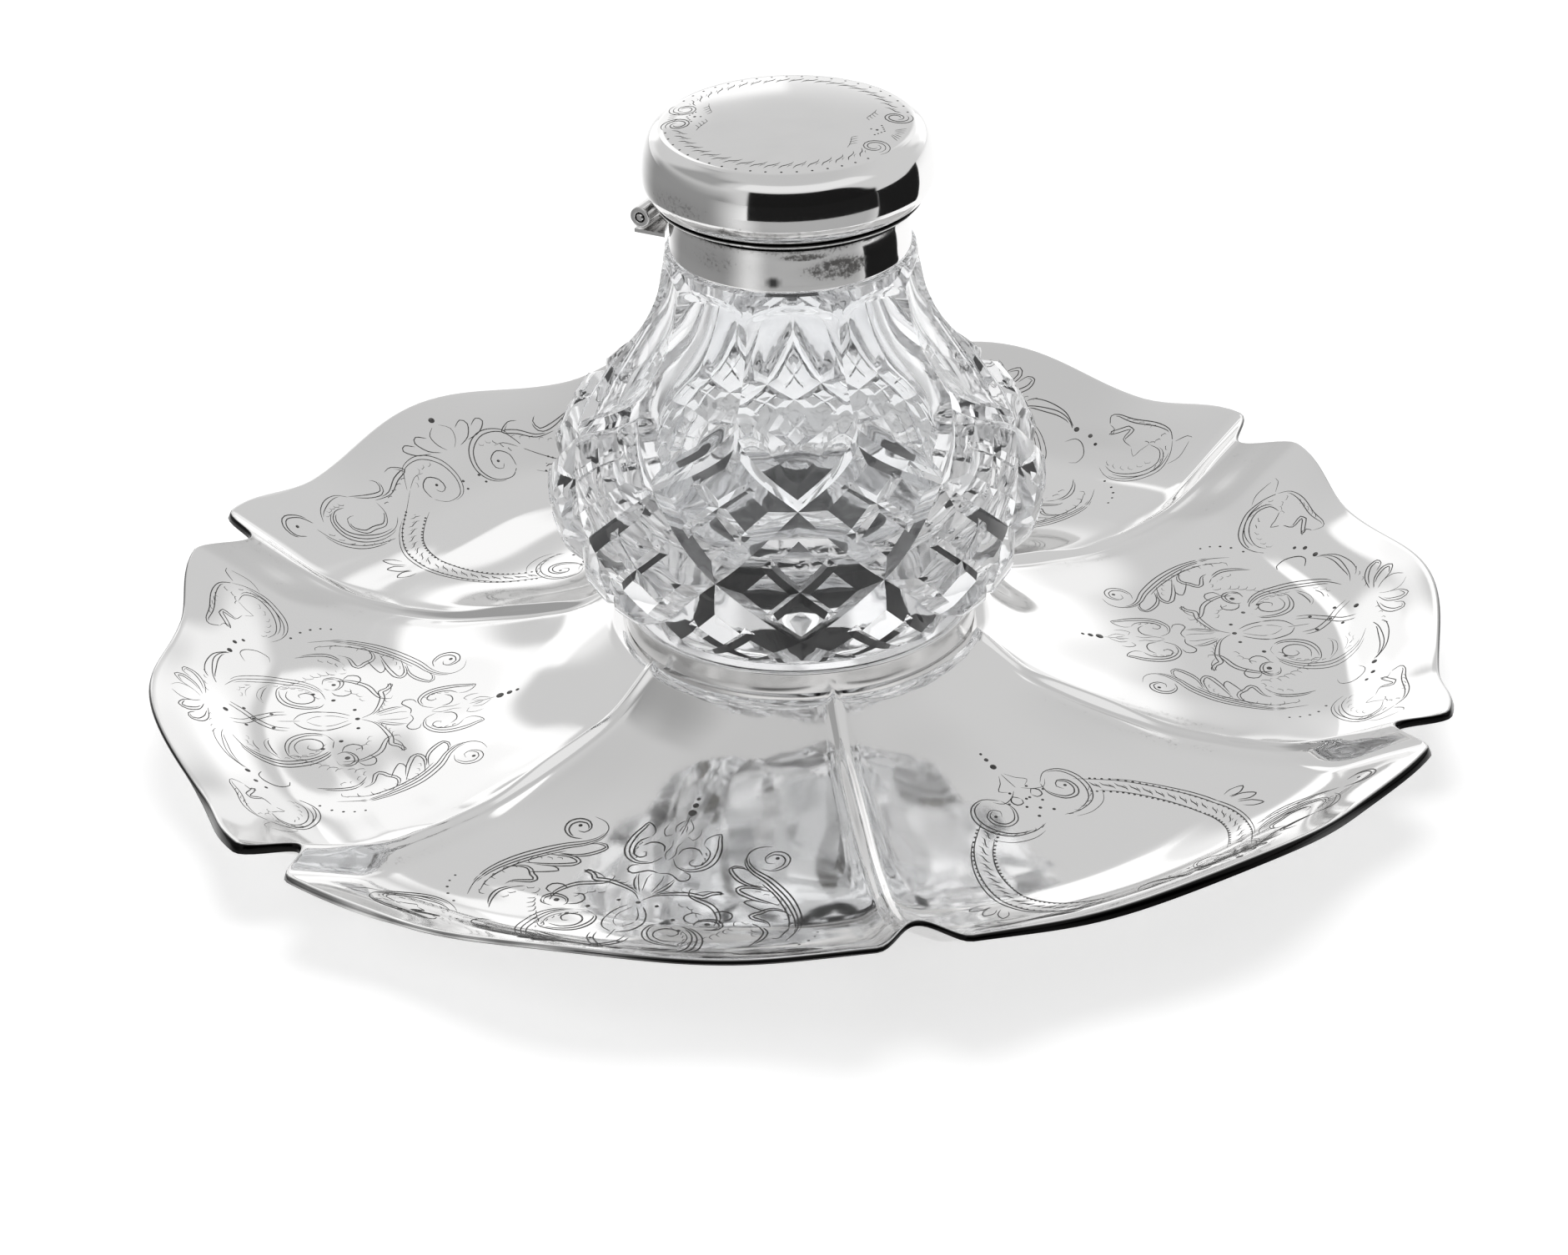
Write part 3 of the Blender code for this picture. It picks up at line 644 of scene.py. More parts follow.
def dishDirt(point):
    # Dirt stays in the notches, along both sides of a rib and round the ring
    radius = hypot(point.x, point.y)
    across = radius * sin(ribAngle(atan2(point.x, -point.y)))
    level, start, run, wide = dish["notchDirt"]
    atNotch = level * smoothStep((radius - start) / run) * smoothStep(1.0 - across / wide)
    level, away, wide, start, run = dish["ribDirt"]
    beside = level * smoothStep(1.0 - abs(across - away) / wide) * smoothStep((radius - start) / run)
    level, start, run = dish["ringDirt"]
    return max(atNotch, beside, level * smoothStep(1.0 - (radius - start) / run))


def buildDish():
    azimuths = petalAzimuths()
    sections = [dishSection(azimuth) for azimuth in azimuths]
    count = len(sections[0])
    vertices = [point for section in sections for point, dark in section]
    # The dark mark here is painted shade on the rim and underside
    dark = [dark for section in sections for point, dark in section]
    dirt = [dishDirt(point) for point in vertices]
    faces = []
    for index in range(len(sections)):
        here, there = index * count, (index + 1) % len(sections) * count
        for step in range(count - 1):
            faces.append((here + step, here + step + 1, there + step + 1, there + step))
    middles = []
    for height, step in ((vertices[0].z, 0), (vertices[count - 1].z, count - 1)):
        middles.append(len(vertices))
        vertices.append(Vector((0.0, 0.0, height)))
        dark.append(0.0)
        dirt.append(dish["middleDirt"])
    for index in range(len(sections)):
        here, there = index * count, (index + 1) % len(sections) * count
        faces.append((middles[0], here, there))
        faces.append((middles[1], there + count - 1, here + count - 1))
    marks = {"dirt": dirt, "dark": dark}
    addPiece("dish_sheet", vertices, faces, dishSilver, "stand", "dish", marks)


buildDish()
print("dish made")


# Rings and pad on the stand

ring = {
    "radius": 32.8 * mm,
    "wall": 1.5 * mm,
    "base": 20.1 * mm,
    "top": 24.4 * mm,
    "topBevel": 0.55 * mm,
    "baseBevel": 0.15 * mm,
    "bevelSteps": 6,
    "dirt": 0.35,
    "dirtHeight": 1.2 * mm,
    "sides": 180,
}
foot = {"radius": 80.5 * mm, "width": 2.6 * mm, "sunk": 0.25 * mm, "bevel": 0.5 * mm, "dirt": 0.4, "sides": 180}
pad = {
    "radius": 20.8 * mm,
    "base": 20.1 * mm,
    "top": 21.0 * mm,
    "crown": 0.12 * mm,
    "crownShares": (0.0, 0.3, 0.6, 0.8, 0.9, 0.96),
    "edge": ((0.99, 20.75 * mm), (1.0, 20.5 * mm), (0.995, 20.2 * mm), (0.98, 20.1 * mm), (0.0, 20.1 * mm)),
    "sides": 120,
}


def hoop(outer, inner, low, high):
    # The section of a plain ring
    return [(outer, low), (outer, high), (inner, high), (inner, low)]


def buildStandRings():
    corners = hoop(ring["radius"], ring["radius"] - ring["wall"], ring["base"], ring["top"])
    bevels = [ring["baseBevel"], ring["topBevel"], ring["topBevel"], ring["baseBevel"]]
    vertices, faces = spinPiece(roundLoop(corners, bevels, ring["bevelSteps"]), ring["sides"])
    heights = [(point.z - ring["base"]) / ring["dirtHeight"] for point in vertices]
    marks = {"dirt": [ring["dirt"] * smoothStep(1.0 - height) for height in heights]}
    addPiece("seat_ring_band", vertices, faces, ringSilver, "stand", "seat_ring", marks)
    low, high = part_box("foot_ring")
    half = foot["width"] / 2
    corners = hoop(foot["radius"] + half, foot["radius"] - half, low[2], high[2] - foot["sunk"])
    vertices, faces = spinPiece(roundLoop(corners, foot["bevel"]), foot["sides"])
    marks = {"dirt": [foot["dirt"]] * len(vertices)}
    addPiece("foot_ring_band", vertices, faces, dishSilver, "stand", "foot_ring", marks)


def buildPad():
    # A disc of baize, a little crowned, with a soft cut edge
    outline = [(pad["radius"] * share, pad["top"] - pad["crown"] * share**4) for share in pad["crownShares"]]
    outline += [(pad["radius"] * share, height) for share, height in pad["edge"]]
    bm = bmesh.new()
    stackRings(bm, [2 * pi * side / pad["sides"] for side in range(pad["sides"])], outline)
    addMesh("pad_disc", bm, padBaize, "stand", "seat_pad")


def joinRings(bm, grid):
    for lower, upper in zip(grid, grid[1:]):
        count = max(len(lower), len(upper))
        for index in range(count):
            after = (index + 1) % count
            if len(lower) == 1:
                bm.faces.new((lower[0], upper[after], upper[index]))
            elif len(upper) == 1:
                bm.faces.new((lower[index], lower[after], upper[0]))
            else:
                bm.faces.new((lower[index], lower[after], upper[after], upper[index]))


def stackRings(bm, azimuths, outline):
    # Rings of corners at an outline's places, with one corner on the axis
    grid = []
    for radius, height in outline:
        turns = azimuths if radius > 0.0 else azimuths[:1]
        grid.append([bm.verts.new(atAzimuth(azimuth, radius, height)) for azimuth in turns])
    joinRings(bm, grid)


def evenly(level):
    # A rule that marks every place alike
    return lambda point: level


def addMesh(name, bm, material, body, node, crease=radians(35.0), dirtAt=None):
    bmesh.ops.remove_doubles(bm, verts=bm.verts, dist=0.000001)
    bmesh.ops.recalc_face_normals(bm, faces=bm.faces)
    vertices = [corner.co.copy() for corner in bm.verts]
    bm.verts.index_update()
    faces = [[corner.index for corner in face.verts] for face in bm.faces]
    bm.free()
    marks = {"dirt": [dirtAt(point) for point in vertices]} if dirtAt else None
    return addPiece(name, vertices, faces, material, body, node, marks, crease)


buildStandRings()
buildPad()
print("rings and pad made")


# Glass well: mitre cuts on a lattice of diamonds, and hollow flutes up the neck

glass = {
    "columns": 9,
    "topRow": 3.0,
    "rowReach": 0.01,
    "rowMargin": 0.000001,
    "underMargin": 0.01 * mm,
    "base": 21.3 * mm,
    "globeBase": 24.9 * mm,
    "globeRadius": 46.2 * mm,
    "globeHeight": 45.5 * mm,
    "footRadius": 30.4 * mm,
    "footBevel": 0.6 * mm,
    "darkRadius": 19.2 * mm,
    "neckRadius": 22.8 * mm,
    "neckHeight": 24.5 * mm,
    "plugRadius": 18.5 * mm,
    "plugTop": 101.9 * mm,
    "boreRadius": 13.5 * mm,
    "cavityRadius": 34.0 * mm,
    "cavityBase": 36.3 * mm,
    "radiusShares": (0.868, 0.998, 0.905, 0.735),
    "heightShares": (0.0, 0.170, 0.500, 0.815, 1.0),
    "neckRadiusShares": (1.245, 1.105, 1.045, 1.0),
    "neckHeightShares": (0.26, 0.52, 0.78, 1.0),
    "cutDepth": 2.1 * mm,
    "cutHalfShare": 0.18,
    "fineDepth": 0.8 * mm,
    "fineHalfShare": 0.055,
    "fluteDepth": 2.0 * mm,
    "fluteWall": 0.5,
    "fluteTop": 0.93,
    "fluteArch": 0.10,
    "fluteRunIn": 0.6,
    "fluteRunOut": 0.22,
    "fluteSteps": (16, 7, 3),
    "lowRunIn": 0.35,
    "cavityRadii": (0.0, 0.54, 0.79, 0.955, 1.0, 0.87, 0.69, 0.5),
    "cavityHeights": (0.0, 0.02, 0.068, 0.163, 0.285, 0.422, 0.553, 0.672),
    "boreBottom": 0.788,
    "cavitySteps": 56,
    "cellSteps": (3, 4, 1, 1, 4, 3),
    "crease": radians(13.0),
}


def glassPoint(azimuth, row, depth):
    # Rows count the crossings of the mitre cuts, from -1 at the foot to 3 at the top one, then half a row for
    # each place up the neck
    radii = [(-1.0, glass["footRadius"])]
    radii += [(float(index), glass["globeRadius"] * share) for index, share in enumerate(glass["radiusShares"])]
    heights = [
        (index - 1.0, glass["globeBase"] + glass["globeHeight"] * share)
        for index, share in enumerate(glass["heightShares"])
    ]
    top = glass["globeBase"] + glass["globeHeight"]
    for step, (wide, high) in enumerate(zip(glass["neckRadiusShares"], glass["neckHeightShares"])):
        place = glass["topRow"] + (step + 1.0) / 2.0
        radii.append((place, glass["neckRadius"] * wide))
        heights.append((place, top + glass["neckHeight"] * high))
    places = (row - glass["rowReach"], row, row + glass["rowReach"])
    before, here, after = ((readCurve(radii, place), readCurve(heights, place)) for place in places)
    along = Vector((after[0] - before[0], after[1] - before[1])).normalized()
    return atAzimuth(azimuth, here[0] - depth * along.y, here[1] + depth * along.x)


def cellMarks():
    cut, fine = glass["cutHalfShare"], glass["fineHalfShare"]
    stops = (0.0, cut, 0.5 - fine, 0.5, 0.5 + fine, 1.0 - cut, 1.0)
    marks = [0.0]
    for low, high, steps in zip(stops, stops[1:], glass["cellSteps"]):
        marks += [low + (high - low) * step / steps for step in range(1, steps + 1)]
    return marks


def cutAt(place):
    # A deep mitre cut along whole places, a fine one along halves
    fromCut = abs(place - round(place))
    fromFine = abs(place + 0.5 - round(place + 0.5))
    deep = glass["cutDepth"] * (1.0 - fromCut / glass["cutHalfShare"])
    fine = glass["fineDepth"] * (1.0 - fromFine / glass["fineHalfShare"])
    return max(deep, fine, 0.0)


def latticePoint(across, along):
    row = across + along
    depth = max(cutAt(across), cutAt(along)) * smoothStep((row + 1.0) / glass["lowRunIn"])
    return glassPoint((across - along) * pi / glass["columns"], row, depth)


def fluteEnds(across):
    # The rows where a flute starts, where its hollow stops under the plain band and where the neck ends
    row = glass["topRow"]
    end = row + len(glass["neckRadiusShares"]) / 2.0
    top = row + (end - row) * (glass["fluteTop"] - glass["fluteArch"] * across**2)
    return row - 1.0 + abs(across), top, end


def flutePoint(middle, across, row):
    start, top, end = fluteEnds(across)
    runIn = smoothStep((row - start) / glass["fluteRunIn"])
    runOut = smoothStep((top - row) / glass["fluteRunOut"])
    hollow = glass["fluteDepth"] * (1.0 - across**2) * runIn * runOut
    wall = glass["cutDepth"] * (1.0 - (row - start) / (2.0 * glass["cutHalfShare"] * glass["fluteWall"]))
    return glassPoint(middle + across * pi / glass["columns"], row, max(hollow, wall))


def fluteRows(across):
    # Rows close up where the flute ends under the plain band
    start, top, end = fluteEnds(across)
    wall = start + 2.0 * glass["cutHalfShare"] * glass["fluteWall"]
    rows = [start, (start + wall) / 2.0, wall]
    stops = (wall, top - glass["fluteRunOut"], top, end)
    for low, high, steps in zip(stops, stops[1:], glass["fluteSteps"]):
        rows += [low + (high - low) * step / steps for step in range(1, steps + 1)]
    return rows


def fluteLines():
    marks = cellMarks()
    return [-mark for mark in reversed(marks[1:])] + marks


def addCell(bm, corners, crossed):
    made = [bm.verts.new(corner) for corner in corners]
    if crossed:
        bm.faces.new((made[0], made[1], made[3]))
        bm.faces.new((made[1], made[2], made[3]))
    else:
        bm.faces.new((made[0], made[1], made[2]))
        bm.faces.new((made[0], made[2], made[3]))


def addDiamond(bm, left, low):
    marks = cellMarks()
    for aLow, aHigh in zip(marks, marks[1:]):
        for bLow, bHigh in zip(marks, marks[1:]):
            a0, a1, b0, b1 = left + aLow, left + aHigh, low + bLow, low + bHigh
            if a1 + b1 < glass["rowMargin"] - 1.0:
                continue
            points = [latticePoint(*corner) for corner in ((a0, b0), (a1, b0), (a1, b1), (a0, b1))]
            if a0 + b0 < -1.0 - glass["rowMargin"]:
                bm.faces.new([bm.verts.new(point) for point in points[1:]])
            else:
                addCell(bm, points, (aLow + aHigh < 1.0) != (bLow + bHigh < 1.0))


def addFlute(bm, middle):
    lines = fluteLines()
    for left, right in zip(lines, lines[1:]):
        rowsLeft, rowsRight = fluteRows(left), fluteRows(right)
        for index in range(len(rowsLeft) - 1):
            corners = [
                flutePoint(middle, left, rowsLeft[index]),
                flutePoint(middle, right, rowsRight[index]),
                flutePoint(middle, right, rowsRight[index + 1]),
                flutePoint(middle, left, rowsLeft[index + 1]),
            ]
            addCell(bm, corners, False)


def buildGlass():
    bm = bmesh.new()
    columns = glass["columns"]
    for column in range(columns):
        for level in (1, 0, -1, -2):
            addDiamond(bm, column, level - column)
        addFlute(bm, 2.0 * column * pi / columns)
    marks = cellMarks()[:-1]
    low = [(2.0 * (column + mark) + 1.0) * pi / columns for column in range(columns) for mark in marks]
    wide, bevel = glass["footRadius"], glass["footBevel"]
    bottom = [(wide, glass["globeBase"]), (wide, glass["base"] + bevel)]
    bottom += [(radius, glass["base"]) for radius in (wide - bevel, glass["darkRadius"], 0.0)]
    stackRings(bm, low, bottom)
    turns = [(2.0 * column + mark) * pi / columns for column in range(columns) for mark in fluteLines()[:-1]]
    shoulder = glass["globeBase"] + glass["globeHeight"] + glass["neckHeight"]
    tall = glass["plugTop"] - glass["cavityBase"]
    cavity = [
        (glass["cavityRadius"] * wide, glass["cavityBase"] + tall * high)
        for wide, high in zip(glass["cavityRadii"], glass["cavityHeights"])
    ]
    cavity.append((glass["boreRadius"], glass["cavityBase"] + tall * glass["boreBottom"]))
    inside = smoothLine(cavity, glass["cavitySteps"])[::-1]
    inside[-1] = (0.0, inside[-1][1])
    neck = [(glass["neckRadius"], shoulder), (glass["plugRadius"], shoulder), (glass["plugRadius"], glass["plugTop"])]
    neck += [(glass["boreRadius"], glass["plugTop"])]
    stackRings(bm, turns, neck + inside)
    body = addMesh("glass_body", bm, cutGlass, "well", "glass_well", crease=glass["crease"])
    # The pad lies wet against the ground underside, so that the glass shows it black from every side
    body.data.materials.append(padBaize)
    for face in body.data.polygons:
        under = face.center.z < glass["base"] + glass["underMargin"]
        if under and hypot(*face.center.xy) < glass["darkRadius"]:
            face.material_index = 1


buildGlass()
print("glass made")


# Collar and lid: turned shells with eased edges; the faces round the gaps between collar, bezel and lid are
# painted dark as shade. A patch is its level, the azimuth in degrees and height in millimetres of its middle, and
# half its width and height; a line or edge of dirt or of painted shade is its level, depth and run.

collar = {
    "cementOuter": 20.1 * mm,
    "cementInner": 18.9 * mm,
    "cementBase": 95.2 * mm,
    "cementTop": 101.6 * mm,
    "waist": 21.3 * mm,
    "bandWall": 0.8 * mm,
    "bandBase": 95.2 * mm,
    "bandHeight": 8.2 * mm,
    "bandHeights": (0.0, 0.07, 0.22, 0.40, 0.75, 1.0),
    "bandRadii": (1.030, 1.034, 1.031, 1.029, 1.026, 1.031),
    "bezelRadius": 24.4 * mm,
    "bezelFoot": 22.1 * mm,
    "bezelInner": 20.6 * mm,
    "bezelBase": 103.7 * mm,
    "bezelTop": 105.4 * mm,
    "bezelLip": 0.5 * mm,
    "bezelBevels": (0.15 * mm, 0.5 * mm, 0.22 * mm, 0.22 * mm, 0.2 * mm, 0.15 * mm),
    "cementBevel": 0.2 * mm,
    "bandSteps": 36,
    "bandEdge": ((0.02 * mm, 0.12 * mm), (0.2 * mm, 0.0)),
    "bandFootBevel": 0.25 * mm,
    "bandPatches": ((0.9, 23.0, 99.2, 7.5, 2.4), (1.0, 6.0, 102.0, 5.0, 0.8), (0.55, -45.0, 100.0, 12.0, 2.6)),
    "bandTopDirt": (0.75, 2.4 * mm, 2.2 * mm),
    # Painted shade: a dark line at the band's top under the lid, and a dent's dark reflection painted as a small spot
    "bandTopShade": (0.5, 0.4 * mm, 0.35 * mm),
    "dentReflection": (0.9, -8.5, 97.3, 1.1, 0.95),
    # Tarnish and painted shade over the bezel plate; painted shade at its foot and along its top, in the gaps
    "bezelDirtAndShade": 0.6,
    "bezelFootShade": (0.6, 0.9 * mm, 0.6 * mm),
    "bezelTopShade": (0.2 * mm, 0.1 * mm),
    "sides": 192,
}
lid = {
    "base": 105.7 * mm,
    "height": 13.9 * mm,
    "edge": 25.2 * mm,
    "wall": 0.8 * mm,
    "radii": (0.968, 1.012, 1.044, 1.050, 1.044, 1.025, 0.986, 0.914, 0.73, 0.413, 0.0),
    "heights": (0.0, 0.08, 0.20, 0.33, 0.48, 0.65, 0.81, 0.914, 0.952, 0.979, 0.985),
    "creaseIndex": 7,
    "flange": 19.0 * mm,
    "flangeWall": 0.8 * mm,
    "flangeDepth": 1.4 * mm,
    "flangeRise": 1.2 * mm,
    "seatPlate": 0.8 * mm,
    "plateOuter": 24.0 * mm,
    "plateBevel": 0.15 * mm,
    "plateDirt": 0.5,
    # Painted shade on the plate's outer part, in the gap under the lid's edge
    "plateEdgeShade": (0.9, 3.0 * mm, 1.0 * mm),
    "edgeBevel": 0.25 * mm,
    "sideSteps": 40,
    "topSteps": 24,
    "edgeDirt": (0.6, 3.2 * mm),
    "patches": ((0.6, -50.0, 110.5, 10.0, 2.6), (0.7, -18.0, 108.0, 10.0, 1.5)),
}


def patchesAt(point, patches):
    # The strongest of some soft patches at a place
    levels = []
    for level, azimuth, height, wide, tall in patches:
        turn = degrees(atan2(point.x, -point.y)) - azimuth
        across = hypot(point.x, point.y) * radians((turn + 180.0) % 360.0 - 180.0)
        levels.append(level * smoothStep(1.5 - hypot(across / (wide * mm), (point.z / mm - height) / tall)))
    return max(levels)


def addTurned(name, outline, material, body, node, dirtAt=None, paintedShadeAt=None):
    vertices, faces = spinPiece(outline, collar["sides"])
    # dirtAt gives tarnish, paintedShadeAt painted shade
    rules = {"dirt": dirtAt, "dark": paintedShadeAt}
    marks = {title: [rule(point) for point in vertices] for title, rule in rules.items() if rule}
    addPiece(name, vertices, faces, material, body, node, marks, turnedCrease)


def buildCollar():
    outline = hoop(collar["cementOuter"], collar["cementInner"], collar["cementBase"], collar["cementTop"])
    outline = roundLoop(outline, collar["cementBevel"])
    addTurned("cement_sleeve", outline, neckPlaster, "well", "neck_cement")

    base, tall, waist = collar["bandBase"], collar["bandHeight"], collar["waist"]
    side = [(waist * wide, base + tall * high) for wide, high in zip(collar["bandRadii"], collar["bandHeights"])]
    outline = smoothLine(side, collar["bandSteps"])
    inner = waist - collar["bandWall"]
    top = base + tall
    edge = outline.pop()[0]
    outline += [(edge - inset, top - depth) for inset, depth in collar["bandEdge"]]
    outline += [(inner, top), (inner, base), (side[0][0] - collar["bandFootBevel"], base)]

    def bandDirt(point):
        level, depth, run = collar["bandTopDirt"]
        return max(level * smoothStep((point.z - top + depth) / run), patchesAt(point, collar["bandPatches"]))

    # Painted shade: the dent's dark spot and a dark line along the band's top
    def bandPaintedShade(point):
        level, depth, run = collar["bandTopShade"]
        return max(patchesAt(point, [collar["dentReflection"]]), level * smoothStep((point.z - top + depth) / run))

    addTurned(
        "collar_spool", outline, collarSilver, "well", "collar_band", bandDirt, bandPaintedShade
    )

    flare = collar["bezelRadius"] - collar["bezelFoot"]
    low, high, lip = collar["bezelBase"], collar["bezelTop"], collar["bezelLip"]
    corners = [
        (collar["bezelFoot"], low),
        (collar["bezelFoot"] + flare / 4.0, low + (high - low - lip) / 2.0),
        (collar["bezelRadius"], high - lip),
        (collar["bezelRadius"], high),
        (collar["bezelInner"], high),
        (collar["bezelInner"], low),
    ]

    # Painted shade at the bezel's foot and along its top, in the gaps
    def bezelPaintedShade(point):
        level, depth, run = collar["bezelFootShade"]
        topDepth, topRun = collar["bezelTopShade"]
        atFoot = level * smoothStep((low + depth - point.z) / run)
        return max(atFoot, smoothStep((point.z - high + topDepth) / topRun))

    # The bezel plate: tarnish and painted shade all over, and more painted shade at its foot and top
    addTurned(
        "bezel_plate", roundLoop(corners, collar["bezelBevels"]), collarSilver, "well", "collar_bezel",
        evenly(collar["bezelDirtAndShade"]), bezelPaintedShade,
    )


def lidSide():
    shares = zip(lid["radii"], lid["heights"])
    places = [(lid["edge"] * wide, lid["base"] + lid["height"] * high) for wide, high in shares]
    bend = lid["creaseIndex"]
    return smoothLine(places[: bend + 1], lid["sideSteps"])[:-1] + smoothLine(places[bend:], lid["topSteps"])


def lidDirt(point):
    level, reach = lid["edgeDirt"]
    return max(level * smoothStep((lid["base"] + reach - point.z) / reach), patchesAt(point, lid["patches"]))


# Painted shade on the flange plate's outer part
def platePaintedShade(point):
    level, away, run = lid["plateEdgeShade"]
    return level * smoothStep((hypot(point.x, point.y) - lid["flange"] - away) / run)


def buildLid():
    # The dome is a shell along its outer line; the flange inside closes on the collar
    outer = lidSide()
    last = len(outer) - 1
    inner = []
    for index, (radius, height) in enumerate(outer):
        before, after = outer[max(index - 1, 0)], outer[min(index + 1, last)]
        run, climb = after[0] - before[0], after[1] - before[1]
        length = hypot(run, climb)
        inner.append((max(radius - lid["wall"] * climb / length, 0.0), height + lid["wall"] * run / length))
    inner[0] = (outer[0][0] - lid["wall"], outer[0][1])
    inner[-1] = (0.0, outer[-1][1] - lid["wall"])
    edge = [(outer[0][0] - lid["edgeBevel"], outer[0][1]), (outer[0][0], outer[0][1] + lid["edgeBevel"])]
    bm = bmesh.new()
    azimuths = [2.0 * pi * side / collar["sides"] for side in range(collar["sides"])]
    stackRings(bm, azimuths, inner[::-1] + edge + outer[1:])
    addMesh("lid_dome", bm, collarSilver, "lid", "lid_shell", turnedCrease, lidDirt)

    inside, flange = lid["flange"] - lid["flangeWall"], lid["flange"]
    base, plate = lid["base"], lid["base"] + lid["seatPlate"]
    corners = [
        (lid["plateOuter"], base),
        (lid["plateOuter"], plate),
        (flange, plate),
        (flange, plate + lid["flangeRise"]),
        (inside, plate + lid["flangeRise"]),
        (inside, base - lid["flangeDepth"]),
        (flange, base - lid["flangeDepth"]),
        (flange, base),
    ]
    addTurned(
        "lid_flange", roundLoop(corners, lid["plateBevel"], 3), collarSilver, "lid", "lid_bezel",
        evenly(lid["plateDirt"]), platePaintedShade,
    )


buildCollar()
buildLid()
print("collar and lid made")


# Hinge at the lid's back left. Its own frame has X along the pin, Y inwards and Z up.

hinge = {
    "azimuth": radians(-118.0),
    "radius": 25.0 * mm,
    "height": 100.0 * mm,
    "tube": 2.0 * mm,
    "bore": 1.0 * mm,
    "outerLength": 6.9 * mm,
    "middleLength": 7.0 * mm,
    "gap": 0.3 * mm,
    "pinOverhang": 0.2 * mm,
    "pinBevel": 0.2 * mm,
    "pinSides": 32,
    "tubeBevel": 0.3 * mm,
    "boreBevel": 0.12 * mm,
    "leafBevel": 0.25 * mm,
    "leafEase": 0.3,
    "tubeDirt": 0.3,
    "pinDirt": 0.4,
    "leafDirt": 0.35,
    "strapOuter": 1.2 * mm,
    "strapInner": 0.3 * mm,
    "strapTop": 5.4 * mm,
    "sides": 48,
}


def hingeFrame():
    along = Vector((cos(hinge["azimuth"]), sin(hinge["azimuth"]), 0.0))
    place = atAzimuth(hinge["azimuth"], hinge["radius"], hinge["height"])
    return Matrix.Translation(place) @ Matrix.Rotation(atan2(along.y, along.x), 4, "Z")


def spinOnPin(outline):
    # Turns an outline of radius and place pairs round the pin
    vertices, faces = spinPiece(outline, hinge["sides"])
    turn = hingeFrame() @ Matrix.Rotation(pi / 2.0, 4, "Y")
    return [turn @ vertex for vertex in vertices], faces


def buildKnuckle(name, low, high, node):
    tube, bore = hinge["tube"], hinge["bore"]
    outline = roundLoop(hoop(tube, bore, low, high), [hinge["tubeBevel"]] * 2 + [hinge["boreBevel"]] * 2)
    vertices, faces = spinOnPin(outline)
    marks = {"dirt": [hinge["tubeDirt"]] * len(vertices)}
    addPiece(name, vertices, faces, hingeSilver, "well", node, marks, turnedCrease)


def extrudeLeaf(outline, hole):
    # A closed outline in the hinge's Y and Z with a hole in it, drawn out along the pin with eased ends
    high, bevel = hinge["middleLength"] / 2.0, hinge["leafBevel"]
    ends = [(high, bevel), (high - bevel * hinge["leafEase"], bevel * hinge["leafEase"]), (high - bevel, 0.0)]
    ends = [(-place, inset) for place, inset in ends] + ends[::-1]
    count = len(outline)
    normals = []
    for index in range(count):
        before, after = Vector(outline[index - 1]), Vector(outline[(index + 1) % count])
        along = (after - before).normalized()
        normals.append(Vector((along.y, -along.x)))
    bm = bmesh.new()
    rings = []
    for place, inset in ends:
        points = [Vector(point) - normal * inset for point, normal in zip(outline, normals)]
        rings.append([bm.verts.new((place, point.x, point.y)) for point in points])
    bores = [[bm.verts.new((place, point[0], point[1])) for point in hole] for place in (-high, high)]
    for grid in (rings, bores, [rings[0], bores[0]], [rings[-1], bores[-1]]):
        joinRings(bm, grid)
    return bm


def buildHinge():
    half = hinge["middleLength"] / 2.0
    start = half + hinge["gap"]
    end = start + hinge["outerLength"]
    buildKnuckle("knuckle_near", -end, -start, "collar_knuckle_front")
    buildKnuckle("knuckle_far", start, end, "collar_knuckle_back")

    pin, bevel = hinge["bore"] - hinge["gap"], hinge["pinBevel"]
    tip = end + hinge["pinOverhang"]
    outline = [(0.0, -tip), (pin - bevel, -tip), (pin, -tip + bevel)]
    outline += [(radius, -place) for radius, place in outline[::-1]]
    bm = bmesh.new()
    stackRings(bm, [2.0 * pi * side / hinge["pinSides"] for side in range(hinge["pinSides"])], outline)
    bm.transform(hingeFrame() @ Matrix.Rotation(pi / 2.0, 4, "Y"))
    dirt = evenly(hinge["pinDirt"])
    addMesh("pin_rod", bm, hingeSilver, "well", "hinge_pin", turnedCrease, dirt)

    # The lid's knuckle and strap are one casting: a tube whose back rises to the lid
    tube, bore = hinge["tube"], hinge["bore"]
    turns = [2.0 * pi * step / hinge["sides"] for step in range(hinge["sides"])]
    circle = [(tube * cos(turn), tube * sin(turn)) for turn in turns]
    outline = []
    for y, z in circle:
        inStrap = -hinge["strapOuter"] <= y <= hinge["strapInner"] and z > 0.0
        outline.append((y, hinge["strapTop"]) if inStrap else (y, z))
    bm = extrudeLeaf(outline, [(bore / tube * y, bore / tube * z) for y, z in circle])
    bm.transform(hingeFrame())
    dirt = evenly(hinge["leafDirt"])
    addMesh("lid_hinge_leaf", bm, hingeSilver, "lid", "lid_knuckle", turnedCrease, dirt)


buildHinge()
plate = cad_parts["hinge_plate"]
plate.data.materials.clear()
plate.data.materials.append(hingeSilver)
print("hinge made")


# Engraving: lines and punched dots drawn in each petal's own millimetres, U across and V out from the
# well, then laid on the silver by a node group as shallow dark grooves

engraving = {
    "sink": 0.13 * mm,
    "line": 0.20 * mm,
    "fineLine": 0.165 * mm,
    "step": 0.8,
    "guideStep": 0.5,
    "fineLength": 4,
    "taper": (0.72, 0.42),
    "lineSides": 5,
    "dotRounds": 2,
    "dotHeight": 0.18,
    "edgeMargin": 1.3 * mm,
    "slopeReach": 0.4 * mm,
    "leanFrom": 55.0,
}

